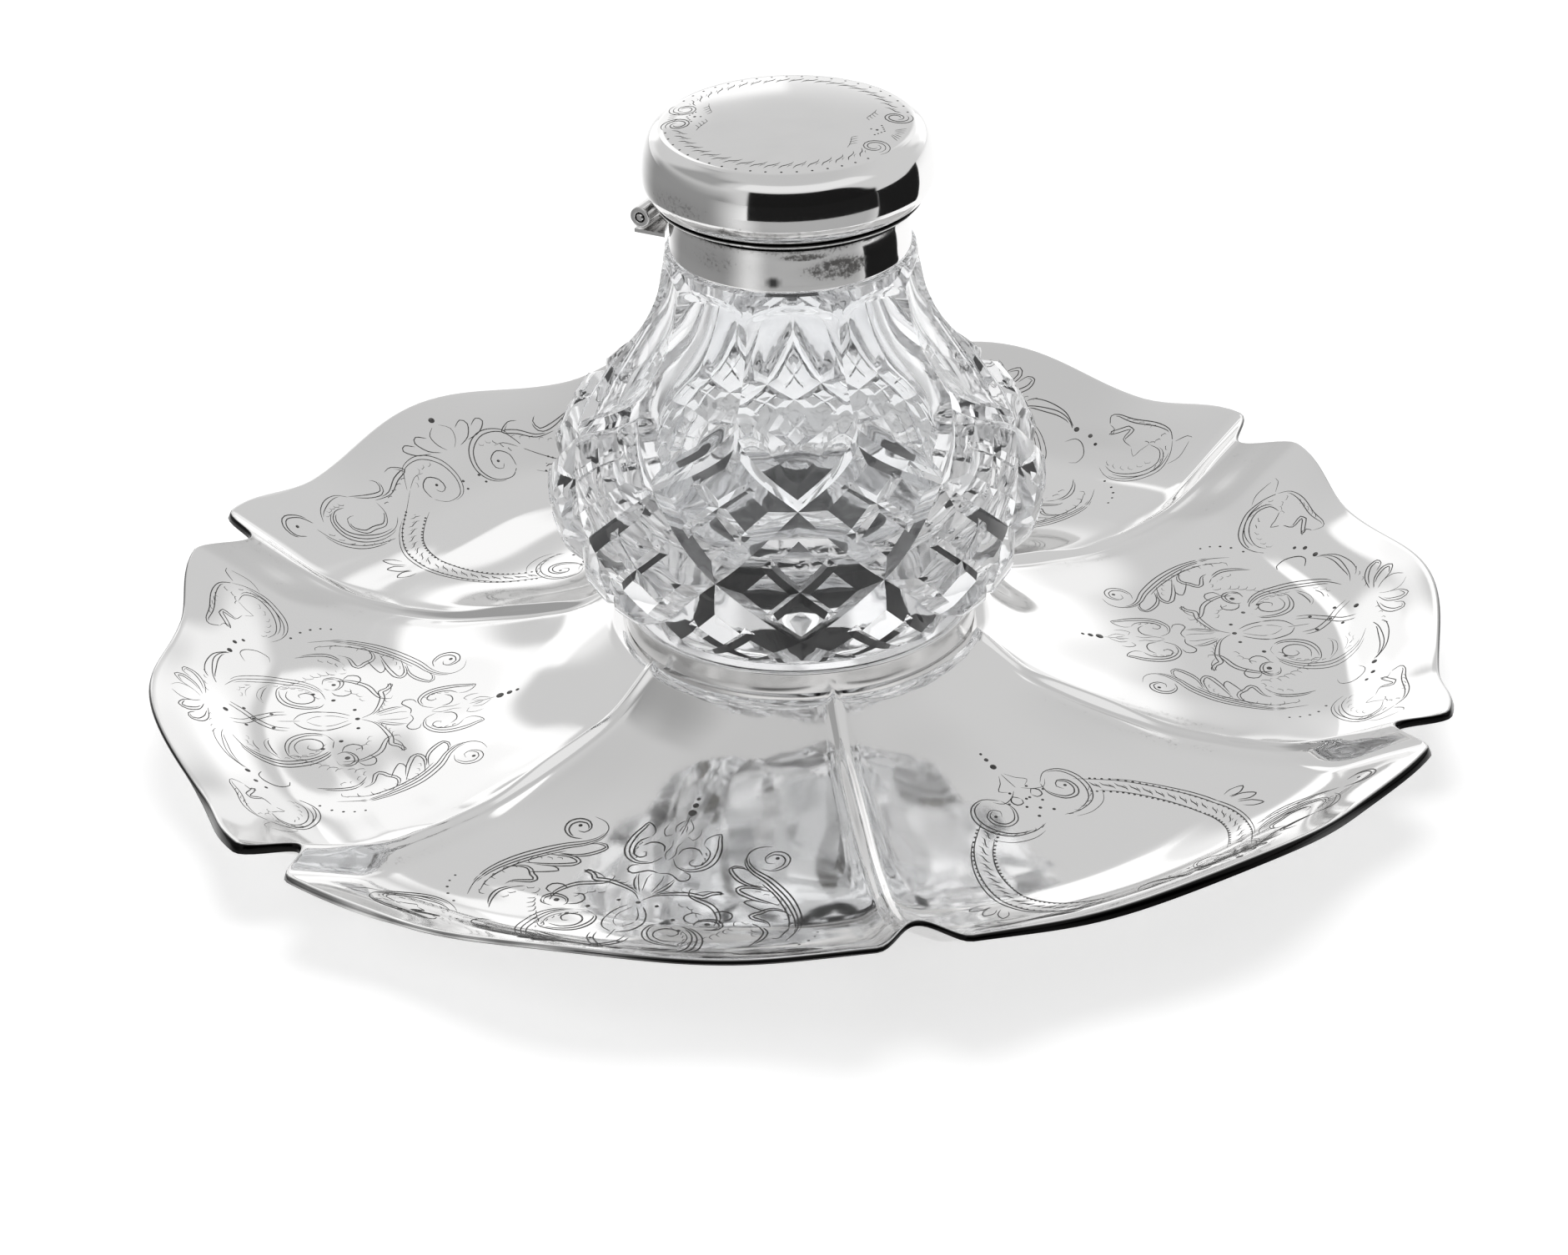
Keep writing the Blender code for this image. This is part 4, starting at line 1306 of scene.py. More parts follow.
# The forms that repeat along a line, in shares of their own length, width or pitch
comma = {"bend": ((0.55, 0.05), (0.75, 0.55)), "back": 0.25}
echo = {"start": 0.12, "end": 0.85, "swell": (0.12, 0.76)}
link = {
    "width": 0.36,
    "overlap": 1.15,
    "middle": 0.55,
    "rise": (0.2, 0.28),
    "fall": (0.4, 0.2),
    "vein": (0.9, 0.1, 0.22, 0.1),
    "dotReach": 0.72,
    "dotPlaces": (0.25, 0.75),
    "dotSize": 0.27,
}

# Half of a design: strokes; echoes, each a stroke's number and an offset; hooks, each a path, a count, a length
# and a side; chains, each a path, a pitch and a width; and dots, each its place and radius. The middle has no mirror.

floral = {
    "strokes": [
        [(1, 63), (1.6, 61), (0, 58.8)],
        [(1, 63), (2.6, 64), (3.4, 62.4), (3, 60.6)],
        [(0.6, 62.6), (0.5, 61.2), (0, 60.2)],
        [(1, 69.6), (2.4, 71.7), (5, 72.4), (7.5, 71), (8.7, 68.4), (8.5, 65), (7.6, 62.6), (7, 61.2),
         (5.6, 62), (4.8, 63.4), (5.1, 64.8)],
        [(5.1, 64.8), (6.6, 66), (7, 68), (6.4, 70), (5, 70.7), (4.1, 69.9), (4.4, 69), (5.1, 69.2)],
        [(1.4, 68.4), (1.7, 66.8), (3, 66), (4.6, 66.2), (5.7, 67.4)],
        [(0, 70.6), (0.9, 68.6), (0.5, 66.2), (1.2, 64.4)],
        [(0, 74.4), (2, 74), (4.5, 75.5), (5.8, 74.6), (5.5, 73.2), (4, 72.7)],
        [(0.8, 80.6), (1.4, 76), (0.9, 74.6)],
        [(1.1, 81), (3, 76.5), (3.4, 75)],
        [(0.2, 83.5), (2.3, 81), (7.3, 79.3), (10.3, 79.3), (11.5, 77.7), (13.2, 76.8), (10.4, 77), (8.3, 78.4)],
        [(15.4, 88.5), (15.2, 85.2), (12.7, 81.8), (9.3, 80.3), (7.7, 79.3), (7.2, 77.2), (8.3, 76.8)],
        [(29.8, 91), (30.2, 86), (28.8, 81.2), (25, 75.6), (20, 71.2), (16, 69), (13.9, 66.8), (13.5, 64.4),
         (14.8, 62.6), (17.2, 61.8)],
        [(17, 68), (19.4, 68), (21.2, 66.4), (21.2, 64.2), (19.6, 62.9), (17.6, 63.2), (16.7, 64.8),
         (17.5, 66.2), (19, 66)],
        [(28.2, 89), (28.4, 84.8), (26.4, 80), (22.4, 75), (18.6, 72)],
        [(24.4, 94), (25, 91), (24.8, 87.7), (23.2, 85.6), (21.4, 84.6)],
        [(25.3, 85.6), (24, 83.5), (20.8, 82.3), (21.9, 81), (23.2, 79.3), (25.6, 79.4), (27.3, 80.6)],
        [(24.4, 77.7), (20.7, 76.8), (18, 76), (15.5, 74.8), (17.3, 73.7), (21.9, 73.9)],
        [(19.8, 73), (16.5, 72.7), (14, 71.4), (12.1, 69.3), (14, 68.7), (16.2, 69.6)],
        [(22.6, 80.2), (20, 79.4), (17.6, 78.2), (18.8, 77.2), (21, 77.4)],
        [(8.5, 108.1), (12.7, 105.2), (15.5, 100.2), (15.4, 96), (14.2, 92.7), (11.5, 90.2), (7.7, 89.3)],
        [(7.7, 89.3), (5.2, 91), (4.8, 94.3), (6.4, 97.3), (9.3, 98.5), (12.7, 98.1), (14.2, 96.4)],
        [(12.2, 96.2), (9.6, 96.8), (7.4, 95.6), (6.8, 93.4), (8, 91.6), (10, 91.6), (11, 93), (10.2, 94.4), (9, 94)],
        [(13, 97.2), (13.2, 94.6), (12.2, 92.6), (10.6, 91.4)],
        [(6.2, 100.8), (8.2, 102.2), (11.4, 101.6), (14.2, 99.2)],
        [(7.2, 104.2), (9.6, 104.2), (12.2, 102.8)],
        [(14.2, 89.6), (16.4, 89), (17, 87), (15.8, 85.6), (14, 85.6), (12.4, 86.6), (12, 88.2), (12.8, 89.4)],
        [(12, 88.2), (10.2, 87.6), (9.4, 86), (10.4, 84.4), (12.2, 84.6)],
        [(15.8, 85.6), (17.4, 84.4), (17, 82.6), (15.2, 82.2), (13.6, 83.4)],
        [(-3.6, 107.6), (-2.4, 105), (0.2, 102.4), (2.2, 99.6), (2.6, 97)],
        [(-2.6, 108), (-1.2, 105.4), (1.2, 103), (3.2, 100), (3.6, 97.4)],
        [(20.5, 106), (19, 108), (16, 109.5), (11, 110), (8, 109.5)],
        [(20.5, 106.5), (18, 109.3), (14, 111), (10.5, 111.4), (9, 110.7)],
        [(19.5, 103.4), (21.6, 104.2), (23.4, 103.2), (24.4, 100.8), (23.4, 98.8), (21.6, 98.8)],
        [(42.3, 103.9), (41, 106.4), (37.7, 108.1), (32.7, 108.9), (29.3, 109.8), (27.7, 109.3), (28.1, 107.3)],
        [(28.1, 107.3), (29.3, 106.4), (28.5, 105.3), (30.2, 105.6), (32.7, 106.4), (31.8, 104.3), (33.9, 102.7)],
        [(33.9, 102.7), (35, 100.6), (36, 101.8), (38, 103.5)],
        [(37.7, 103.1), (40.2, 101.8), (40.6, 99.3), (38.5, 97.3), (35.2, 96.4), (31.8, 96.8), (29.6, 98.6)],
        [(42.3, 103.9), (42.7, 101), (41.8, 97.7), (39.3, 95.6), (36, 94.3), (32.7, 94.5), (30.2, 96), (28.6, 98)],
        [(46.6, 104.2), (45.2, 104.8), (42.7, 103.5)],
        [(46, 103.9), (44.8, 100.2), (42.3, 98.5)],
        [(0.4, 112.6), (2.2, 114.4), (2.4, 116.6), (0.4, 118.4)],
        [(1.6, 112.4), (4.6, 113.4), (6.4, 115.6), (5.6, 117.2), (3.4, 116.2), (2.4, 114.6)],
        [(2.4, 111.8), (6.2, 111.9), (8.8, 113.2), (9.4, 115.2), (7.8, 115.6), (6.2, 114.2)],
        [(0, 94), (1.6, 92), (1.9, 89), (0.2, 85.6)],
        [(0.3, 96.2), (2.6, 94.6), (3.6, 91.4), (3, 88), (1.4, 85.4)],
    ],
    "middle": [
        [(0, 58), (0, 60.4), (0, 63.6)],
        [(0, 99.6), (0, 97), (0, 94.6)],
    ],
    "hooks": [
        ([(12.6, 98.6), (15.6, 96.6), (17.7, 93.2), (19.4, 89.6), (20.2, 86)], 9, 2.6, -1.0),
        ([(26.6, 90.6), (27, 86), (26, 81.8), (22.6, 77)], 6, 2.2, 1.0),
        ([(6.4, 81.6), (9.4, 82.2), (12, 84.2)], 4, 1.8, 1.0),
        ([(29.6, 100.4), (32.4, 99), (35.4, 98.8), (38, 100)], 6, 1.7, -1.0),
        ([(30.6, 108.2), (33.6, 107.4), (37, 106.4)], 5, 1.6, 1.0),
        ([(1.4, 79.6), (3.8, 78.2), (6.2, 77.4)], 4, 1.5, 1.0),
        ([(15.8, 74.2), (19, 75.4), (22.4, 76.2)], 4, 1.5, -1.0),
        ([(6.4, 105.6), (9.4, 106.2), (12.6, 104.4)], 4, 1.6, -1.0),
        ([(8.4, 89.9), (11.4, 91.4), (13.4, 94.6), (14.4, 98.4)], 7, 1.3, 1.0),
        ([(24.6, 90), (23.4, 86.6), (20.8, 84)], 4, 1.8, -1.0),
        ([(41.2, 105.6), (39.4, 103.2), (37, 102.8)], 4, 1.4, -1.0),
        ([(40.6, 96.8), (42, 99.6), (42.2, 102.4)], 4, 1.3, 1.0),
        ([(5.6, 71.8), (7.2, 69.6), (7, 66.6)], 4, 1.2, -1.0),
        ([(3.4, 110.8), (7, 110.9), (11, 110.7)], 4, 1.2, 1.0),
    ],
    "echoes": [
        (3, -0.9), (9, 0.8), (10, -0.9), (11, 0.9), (12, 0.9), (12, -0.8), (13, -0.9), (15, 0.8), (16, -0.8),
        (17, -0.8), (18, -0.7),
        (20, -1.0), (20, 1.1), (21, -0.9), (24, -0.9), (26, -0.7), (31, 0.8), (34, 0.9), (35, 0.8), (37, 1.0),
        (38, -0.9), (42, 0.8), (43, 0.8),
    ],
    "dots": [
        (14.2, 87.4, 0.55), (10.5, 91.6, 0.4), (3, 105, 0.4), (2.6, 100, 0.4), (21.3, 106.1, 0.6),
        (31, 94, 0.3), (33, 92, 0.3), (34, 90, 0.3), (34.4, 88, 0.25), (34.2, 86, 0.25), (8, 88, 0.45),
        (18.9, 64.6, 0.4), (24.6, 104.9, 0.5), (26.2, 103.2, 0.4), (3.6, 84.4, 0.4),
    ],
    "middleDots": [(0, 57.4, 0.8), (0, 55.6, 0.6), (0, 54.1, 0.4), (0, 108.5, 0.6), (0, 103.4, 0.4), (0, 84.2, 0.5)],
    "chains": [],
}

cartouche = {
    "strokes": [
        [(0.4, 56), (1.8, 58), (3.4, 59.4), (1.6, 60.6)],
        [(0.6, 60.4), (2.4, 61.8), (4.8, 62.4), (6.6, 60.6)],
        [(2.2, 70.8), (5.6, 71.4), (9.6, 70.2), (12, 67), (12.4, 63), (10.6, 60), (7.4, 59.4), (4.8, 61.4)],
        [(4.8, 61.4), (4.2, 64.4), (5.8, 67.2), (8.4, 67.6), (10, 65.8), (9.8, 63.4), (8, 62.4), (6.8, 63.6),
         (7.6, 64.9)],
        [(3.4, 72.4), (7, 73), (11, 71.6), (13.6, 68.4)],
        [(1.2, 63), (1.7, 64.1), (3, 64), (3.3, 62.7), (2.2, 61.8), (1.2, 63)],
        [(11, 63.5), (17, 68), (21, 73), (24, 79), (25.5, 84), (26, 89), (25, 93.5), (22, 98.5), (17.5, 103),
         (14, 106.5)],
        [(14, 106.5), (11.2, 108.6), (8.6, 108.8)],
        [(12.6, 68.6), (16, 71.8), (18.8, 76), (20.6, 80.6), (21.6, 85.4), (21.6, 89.6), (20.2, 93.8),
         (17.2, 97.6), (13.4, 101)],
        [(14.6, 106.6), (12.4, 110.4), (8, 111.4), (4.2, 109.4), (3, 105.8), (4.6, 102.4), (8, 101.6), (10.6, 103.4)],
        [(10.6, 103.4), (10.9, 106.2), (8.8, 107.8), (6.6, 106.8), (6.4, 104.9), (7.8, 104.2), (8.7, 105.3)],
        [(0.6, 111), (2.2, 112.6), (2.6, 114.8), (0.5, 116.4)],
        [(2.4, 111.2), (5, 112.2), (6.6, 114.4), (5.6, 115.6), (3.6, 114.6)],
        [(4.6, 111.6), (8, 112.2), (10, 113.8), (9, 114.8), (7, 113.8)],
        [(30.2, 106.4), (32.7, 106), (34.5, 103.9), (33.9, 101), (31, 99.2), (26.8, 98.7), (22.7, 99.8),
         (20.2, 102.3)],
        [(36.8, 104.2), (35.6, 106.8), (33.1, 108.9), (30.2, 109.5), (27.8, 108.4)],
        [(22.7, 106), (22.3, 103.5), (24, 101), (26.8, 100.6), (29.3, 100.2), (31.6, 101.8), (31.2, 104),
         (29.4, 104.4)],
        [(39, 104.2), (41, 106), (44, 106.2), (45.3, 104.3), (44.5, 102.3), (42.3, 101.8)],
        [(39.3, 103), (36.8, 99.8), (32.7, 97.7), (28.5, 97.1), (24.3, 97.3)],
        [(27.7, 108.5), (23.5, 107.9), (20.2, 108), (19.8, 109.8), (21, 110.6)],
        [(22.7, 106.4), (18.5, 106.8), (15.2, 108.9), (12.3, 110.4), (14.8, 111.7), (16.8, 111.2)],
        [(29, 86), (31.4, 86.6), (33, 88.4), (31, 88.8), (29.2, 87.6)],
        [(28.6, 88), (30.8, 89.6), (31.6, 91.8), (29.6, 91.2), (28.4, 89.6)],
        [(28.2, 84.6), (30.8, 84), (33.2, 84.8), (31.2, 86), (29, 85.6)],
    ],
    "middle": [[(0, 60.4), (0, 57.6), (0, 55.8)]],
    "hooks": [
        ([(36, 105.4), (33.6, 107.4), (30.6, 108)], 5, 1.6, 1.0),
        ([(25, 98.2), (29.4, 98.2), (33.4, 99.4), (36.2, 102)], 7, 1.7, -1.0),
        ([(2.4, 70.4), (5.8, 70.2), (9, 69), (10.8, 66.6)], 6, 1.4, 1.0),
        ([(5.6, 110.6), (9.6, 110.2), (12.4, 107.4)], 5, 1.3, -1.0),
        ([(12.6, 108.6), (16.6, 106.8), (20.4, 104.6)], 5, 1.4, 1.0),
    ],
    "echoes": [
        (2, -0.9), (3, -0.8), (6, -0.9), (9, -0.9), (14, -0.9), (14, 0.9), (15, 0.9), (16, 0.8), (17, 0.8),
        (18, 0.9), (19, 0.8), (20, -0.8),
    ],
    "chains": [
        (
            [(12.2, 66.4), (17, 70.4), (20.6, 76), (22.8, 81.6), (23.9, 87), (23.3, 92), (20.8, 96.8), (16.4, 101.4)],
            2.3,
            2.7,
        )
    ],
    "dots": [
        (0.4, 63.5, 0.3), (4.1, 63, 0.3), (2, 60.8, 0.3), (1.8, 68.5, 0.35), (1.9, 65.3, 0.3),
        (2, 104.8, 0.35), (2.3, 102.8, 0.3), (7.8, 105.9, 0.35), (8.4, 64.2, 0.35), (43, 104.2, 0.4),
    ],
    "middleDots": [(0, 54.1, 0.65), (0, 52.2, 0.45), (0, 50.7, 0.3), (0, 117.6, 0.7), (0, 66.8, 0.35)],
}

# For each petal: its azimuth in degrees, the design, its shift and lean, and the weight of its lines
petalDesigns = [
    (-20.8, floral, 0.0, 0.0, 1.1),
    (39.2, cartouche, 0.0, 0.0, 0.9),
    (99.2, floral, 1.0, -0.045, 0.78),
    (159.2, floral, 0.0, 0.0, 0.78),
    (-80.8, floral, 0.6, 0.09, 0.78),
    (-140.8, cartouche, 0.0, 0.0, 0.8),
]


def strokePoints(points, step):
    # A smooth line through the places, in steps of about one length
    places = [Vector(point) for point in points]
    line = []
    for index in range(len(places) - 1):
        before, low = places[max(index - 1, 0)], places[index]
        high, after = places[index + 1], places[min(index + 2, len(places) - 1)]
        count = max(1, round((high - low).length / step))
        square = 2 * before - 5 * low + 4 * high - after
        cube = 3 * low - before - 3 * high + after
        for part in range(count + (index == len(places) - 2)):
            u = part / count
            line.append(0.5 * (2 * low + (high - before) * u + square * u**2 + cube * u**3))
    return line


def alongLine(line, share):
    # Place, direction and left side at a share of a line's points
    place = share * (len(line) - 1)
    index = min(int(place), len(line) - 2)
    step = line[index + 1] - line[index]
    ahead = step.normalized()
    return line[index] + step * (place - index), ahead, Vector((-ahead.y, ahead.x))


def hookStrokes(path, count, length, side):
    # Small commas in a row, as a leaf's cut edge
    line = strokePoints(path, engraving["guideStep"])
    strokes = []
    for index in range(count):
        place, ahead, out = alongLine(line, (index + 0.5) / count)
        out = out * side
        belly, tip = (place + out * length * wide + ahead * length * far for wide, far in comma["bend"])
        strokes.append([place, belly, tip, tip + ahead * length * comma["back"] - out * length * comma["back"]])
    return strokes


def echoStroke(path, offset):
    # A second cut beside a line, for a stem or a leaf's vein
    line = strokePoints(path, engraving["guideStep"])
    stroke = []
    count = max(4, len(path) * 2)
    start, grow = echo["swell"]
    for index in range(count + 1):
        place, _, out = alongLine(line, echo["start"] + (echo["end"] - echo["start"]) * index / count)
        stroke.append(place + out * offset * sin(pi * (start + grow * index / count)))
    return stroke


def chainStrokes(path, pitch, width):
    # A twist of leaves between two rows of dots
    line = strokePoints(path, engraving["guideStep"])
    length = sum((b - a).length for a, b in zip(line, line[1:]))
    count = max(2, round(length / pitch))
    half = width * link["width"]
    strokes, dots = [], []
    for index in range(count):
        low, ahead, side = alongLine(line, index / count)
        high, beyond, sideHigh = alongLine(line, min((index + link["overlap"]) / count, 1.0))
        middle = alongLine(line, (index + link["middle"]) / count)[0]
        rise = low - side * half * link["rise"][0] + ahead * pitch * link["rise"][1]
        fall = high + sideHigh * half * link["fall"][0] - beyond * pitch * link["fall"][1]
        strokes.append([low - side * half, rise, middle, fall, high + sideHigh * half])
        start, bend, run, end = link["vein"]
        vein = middle - side * half * bend + ahead * pitch * run
        strokes.append([middle - side * half * start, vein, high + sideHigh * half * end])
        for reach in (-link["dotReach"], link["dotReach"]):
            for share in link["dotPlaces"]:
                place, _, out = alongLine(line, (index + share) / count)
                dots.append((*(place + out * width * reach), link["dotSize"]))
    return strokes, dots


def designMarks(design):
    # Every line and dot of a design, both halves
    strokes = list(design["strokes"])
    for index, offset in design["echoes"]:
        strokes.append(echoStroke(design["strokes"][index], offset))
    for hooks in design["hooks"]:
        strokes += hookStrokes(*hooks)
    dots = list(design["dots"])
    for chain in design["chains"]:
        moreStrokes, moreDots = chainStrokes(*chain)
        strokes += moreStrokes
        dots += moreDots
    both = [[Vector(point) for point in stroke] for stroke in strokes]
    both += [[Vector((-point.x, point.y)) for point in stroke] for stroke in both]
    both += [[Vector(point) for point in stroke] for stroke in design["middle"]]
    dots += [(-u, v, size) for u, v, size in dots]
    return both, dots + design["middleDots"]


def layOn(strokes, dots, place, weight=1.0):
    # A design on a surface, where place(u, v) gives a point and its normal, or nothing off the surface
    points, edges, widths, tilts, isDot = [], [], [], [], []
    ends, swell = engraving["taper"]
    for stroke in strokes:
        line = strokePoints(stroke, engraving["step"])
        wide = weight * (engraving["line"] if len(stroke) > engraving["fineLength"] else engraving["fineLine"])
        before = None
        for index, spot in enumerate(line):
            found = place(spot.x, spot.y)
            if not found:
                before = None
                continue
            share = index / (len(line) - 1)
            points.append(found[0] - found[1] * engraving["sink"] * weight)
            tilts.append(found[1])
            widths.append(wide * (ends + swell * (4.0 * share * (1.0 - share)) ** 0.5))
            isDot.append(0.0)
            if before is not None:
                edges.append((before, len(points) - 1))
            before = len(points) - 1
    for u, v, size in dots:
        found = place(u, v)
        if found:
            points.append(found[0])
            tilts.append(found[1])
            widths.append(size * mm)
            isDot.append(1.0)
    return points, edges, widths, tilts, isDot


class Geometry(Tree):
    # A geometry node group with named inputs

    def __init__(self, name, inputs):
        self.tree = bpy.data.node_groups.new(name, "GeometryNodeTree")
        self.sockets = {}
        self.tree.interface.new_socket("Geometry", in_out="INPUT", socket_type="NodeSocketGeometry")
        for title, kind in inputs.items():
            socket = self.tree.interface.new_socket(title, in_out="INPUT", socket_type=kind)
            self.sockets[title] = socket.identifier
        self.tree.interface.new_socket("Geometry", in_out="OUTPUT", socket_type="NodeSocketGeometry")
        self.source = self.tree.nodes.new("NodeGroupInput")

    def given(self, title):
        return Wire(self, self.source.outputs[title])

    def named(self, name, kind="FLOAT"):
        return self.add("GeometryNodeInputNamedAttribute", {"data_type": kind}, {"Name": name})

    def apply(self, base, values):
        # The evaluated mesh of an object with this group on it
        modifier = base.modifiers.new(self.tree.name, "NODES")
        modifier.node_group = self.tree
        for title, value in values.items():
            modifier[self.sockets[title]] = value
        graph = bpy.context.evaluated_depsgraph_get()
        mesh = bpy.data.meshes.new_from_object(base.evaluated_get(graph))
        base.modifiers.remove(modifier)
        return mesh


def makeEngraver():
    # Lines become thin round rods and dots become flat beads that lie along the silver
    tree = Geometry("engraver", {"Sides": "NodeSocketInt", "Rounds": "NodeSocketInt", "Finish": "NodeSocketMaterial"})
    dot = tree.named("isDot").maths("GREATER_THAN", tree.named("isDot"), 0.5)
    values = {"Geometry": tree.given("Geometry"), "Selection": dot}
    dots = tree.add("GeometryNodeSeparateGeometry", {"domain": "POINT"}, values)
    lines = Wire(tree, dots.socket.node.outputs["Inverted"])
    curve = tree.add("GeometryNodeMeshToCurve", {}, {"Mesh": lines})
    profile = tree.add("GeometryNodeCurvePrimitiveCircle", {}, {"Resolution": tree.given("Sides"), "Radius": 1.0})
    width = tree.named("width")
    values = {"Curve": curve, "Profile Curve": profile, "Scale": width, "Fill Caps": True}
    grooves = tree.add("GeometryNodeCurveToMesh", {}, values)
    bead = tree.add("GeometryNodeMeshIcoSphere", {}, {"Radius": 1.0, "Subdivisions": tree.given("Rounds")})
    bead = tree.add("GeometryNodeTransform", {}, {"Geometry": bead, "Scale": (1.0, 1.0, engraving["dotHeight"])})
    turn = tree.add("FunctionNodeAlignRotationToVector", {"axis": "Z"}, {"Vector": tree.named("tilt", "FLOAT_VECTOR")})
    size = tree.add("ShaderNodeCombineXYZ", {}, {"X": width, "Y": width, "Z": width})
    values = {"Points": dots, "Instance": bead, "Rotation": turn, "Scale": size}
    punched = tree.add("GeometryNodeInstanceOnPoints", {}, values)
    punched = tree.add("GeometryNodeRealizeInstances", {}, {"Geometry": punched})
    joined = tree.add("GeometryNodeJoinGeometry")
    for part in (grooves, punched):
        tree.tree.links.new(part.socket, joined.socket.node.inputs[0])
    finished = tree.add("GeometryNodeSetMaterial", {}, {"Geometry": joined, "Material": tree.given("Finish")})
    tree.add("NodeGroupOutput", {}, {"Geometry": finished})
    return tree


def addEngraving(name, marks, body, node):
    points, edges, widths, tilts, isDot = marks
    mesh = bpy.data.meshes.new(name + "_lines")
    mesh.from_pydata([tuple(point) for point in points], edges, [])
    for title, values in (("width", widths), ("isDot", isDot)):
        mesh.attributes.new(title, "FLOAT", "POINT").data.foreach_set("value", np.array(values, dtype=np.float32))
    tilt = mesh.attributes.new("tilt", "FLOAT_VECTOR", "POINT")
    tilt.data.foreach_set("vector", np.array([tuple(value) for value in tilts], dtype=np.float32).ravel())
    piece = placeObject(name, mesh)
    values = {"Sides": engraving["lineSides"], "Rounds": engraving["dotRounds"], "Finish": cutLine}
    piece.data = makeEngraver().apply(piece, values)
    piece.data.shade_smooth()
    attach(piece, body)
    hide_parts(node)
    print(name, len(piece.data.polygons), "faces")


def engraveDish():
    every = ([], [], [], [], [])
    for middle, design, shift, lean, weight in petalDesigns:
        strokes, dots = designMarks(design)
        turn = radians(middle)
        out, across = Vector((sin(turn), -cos(turn))), Vector((cos(turn), sin(turn)))

        def place(u, v):
            # The point and the normal of the petal at a place of the design, or nothing past its edge
            spot = out * v - across * (u + shift + lean * (v - engraving["leanFrom"]))
            x, y = spot * mm
            edge = petalEdge(ribAngle(atan2(x, -y)))[0]
            if hypot(x, y) > edge - engraving["edgeMargin"]:
                return None
            reach = engraving["slopeReach"]
            east = (dishHeight(x + reach, y) - dishHeight(x - reach, y)) / (2.0 * reach)
            north = (dishHeight(x, y + reach) - dishHeight(x, y - reach)) / (2.0 * reach)
            return Vector((x, y, dishHeight(x, y))), Vector((-east, -north, 1.0)).normalized()

        points, edges, widths, tilts, isDot = layOn(strokes, dots, place, weight)
        start = len(every[0])
        for total, part in zip(every, (points, [(a + start, b + start) for a, b in edges], widths, tilts, isDot)):
            total.extend(part)
    addEngraving("dish_engraving", every, "stand", "dish")


# The lid's ornament, in degrees round the lid and millimetres from its axis

lidDesign = {
    "arcs": [(-84.0, 45.0), (98.0, 243.0)],
    "arcSteps": 24,
    "chainRadius": 19.5,
    "chainPitch": 2.5,
    "chainWidth": 3.4,
    "dotSize": 0.24,
    "curlOut": 0.1,
    "curlTurn": 6.2,
    "curls": ((3.1, 1.35), (2.3, 1.1)),
    "curlSteps": 18,
    "curlClose": 0.72,
    "leafRows": 4,
    "leafRadius": 17.2,
    "leafFall": 0.55,
    "leafTurn": 3,
    "leafPlaces": ((-7, 0.3), (-1, 1.3), (4, 0.5)),
    "gaps": [71.5, -100.5],
    "fanReach": 3,
    "fanRays": ((1.0, 19.6), (1.9, 20.7), (2.7, 21.9)),
    "fanDots": (2.4, 18.2, 0.35, 0.2),
    "gapDots": ((16.8, 0.3), (15.7, 0.22)),
    "slopeReach": 0.3 * mm,
    "weight": 0.72,
}


def lidPlace(x, y):
    # The point and the normal of the lid's top over a place, or nothing outside its crease
    radius = hypot(x, y) * mm
    bend = lid["creaseIndex"]
    top = list(zip(lid["radii"][bend:], lid["heights"][bend:]))[::-1]
    if radius > lid["edge"] * top[-1][0]:
        return None
    line = [(lid["edge"] * wide, lid["base"] + lid["height"] * high) for wide, high in top]
    reach = lidDesign["slopeReach"]
    slope = (readCurve(line, radius + reach) - readCurve(line, radius - reach)) / (2.0 * reach)
    out = Vector((x, y, 0.0)).normalized()
    return Vector((x * mm, y * mm, readCurve(line, radius))), (upward - out * slope).normalized()


def onLid(azimuth, radius):
    return Vector((radius * sin(radians(azimuth)), -radius * cos(radians(azimuth))))


def curl(turn, side, radius, wide, turns):
    # A volute that starts at the outer row and closes in on itself
    centre = onLid(turn + side * lidDesign["curlTurn"], radius)
    out, along = onLid(turn, 1.0), Vector((cos(radians(turn)), sin(radians(turn)))) * side
    steps = lidDesign["curlSteps"]
    stroke = []
    for step in range(steps + 1):
        angle = -0.5 + 2.0 * pi * turns * step / steps
        reach = wide * (1.0 - lidDesign["curlClose"] * step / steps)
        stroke.append(centre + (out * cos(angle) + along * sin(angle)) * reach)
    return stroke


def arcMarks(start, end):
    # A chain round the lid with every second dot of its outer row, ending in curls and short leaves
    radius, steps = lidDesign["chainRadius"], lidDesign["arcSteps"]
    path = [onLid(start + (end - start) * step / steps, radius) for step in range(steps + 1)]
    strokes, found = chainStrokes(path, lidDesign["chainPitch"], lidDesign["chainWidth"])
    outer = [(u, v, lidDesign["dotSize"]) for u, v, size in found[::2] if hypot(u, v) > radius]
    for turn, side in ((start, -1.0), (end, 1.0)):
        for wide, turns in lidDesign["curls"]:
            strokes.append(curl(turn, side, radius + lidDesign["curlOut"], wide, turns))
        for step in range(lidDesign["leafRows"]):
            reach = lidDesign["leafRadius"] - lidDesign["leafFall"] * step
            places = [(angle + lidDesign["leafTurn"] * step, drop) for angle, drop in lidDesign["leafPlaces"]]
            strokes.append([onLid(turn + side * angle, reach - drop) for angle, drop in places])
    return strokes, outer


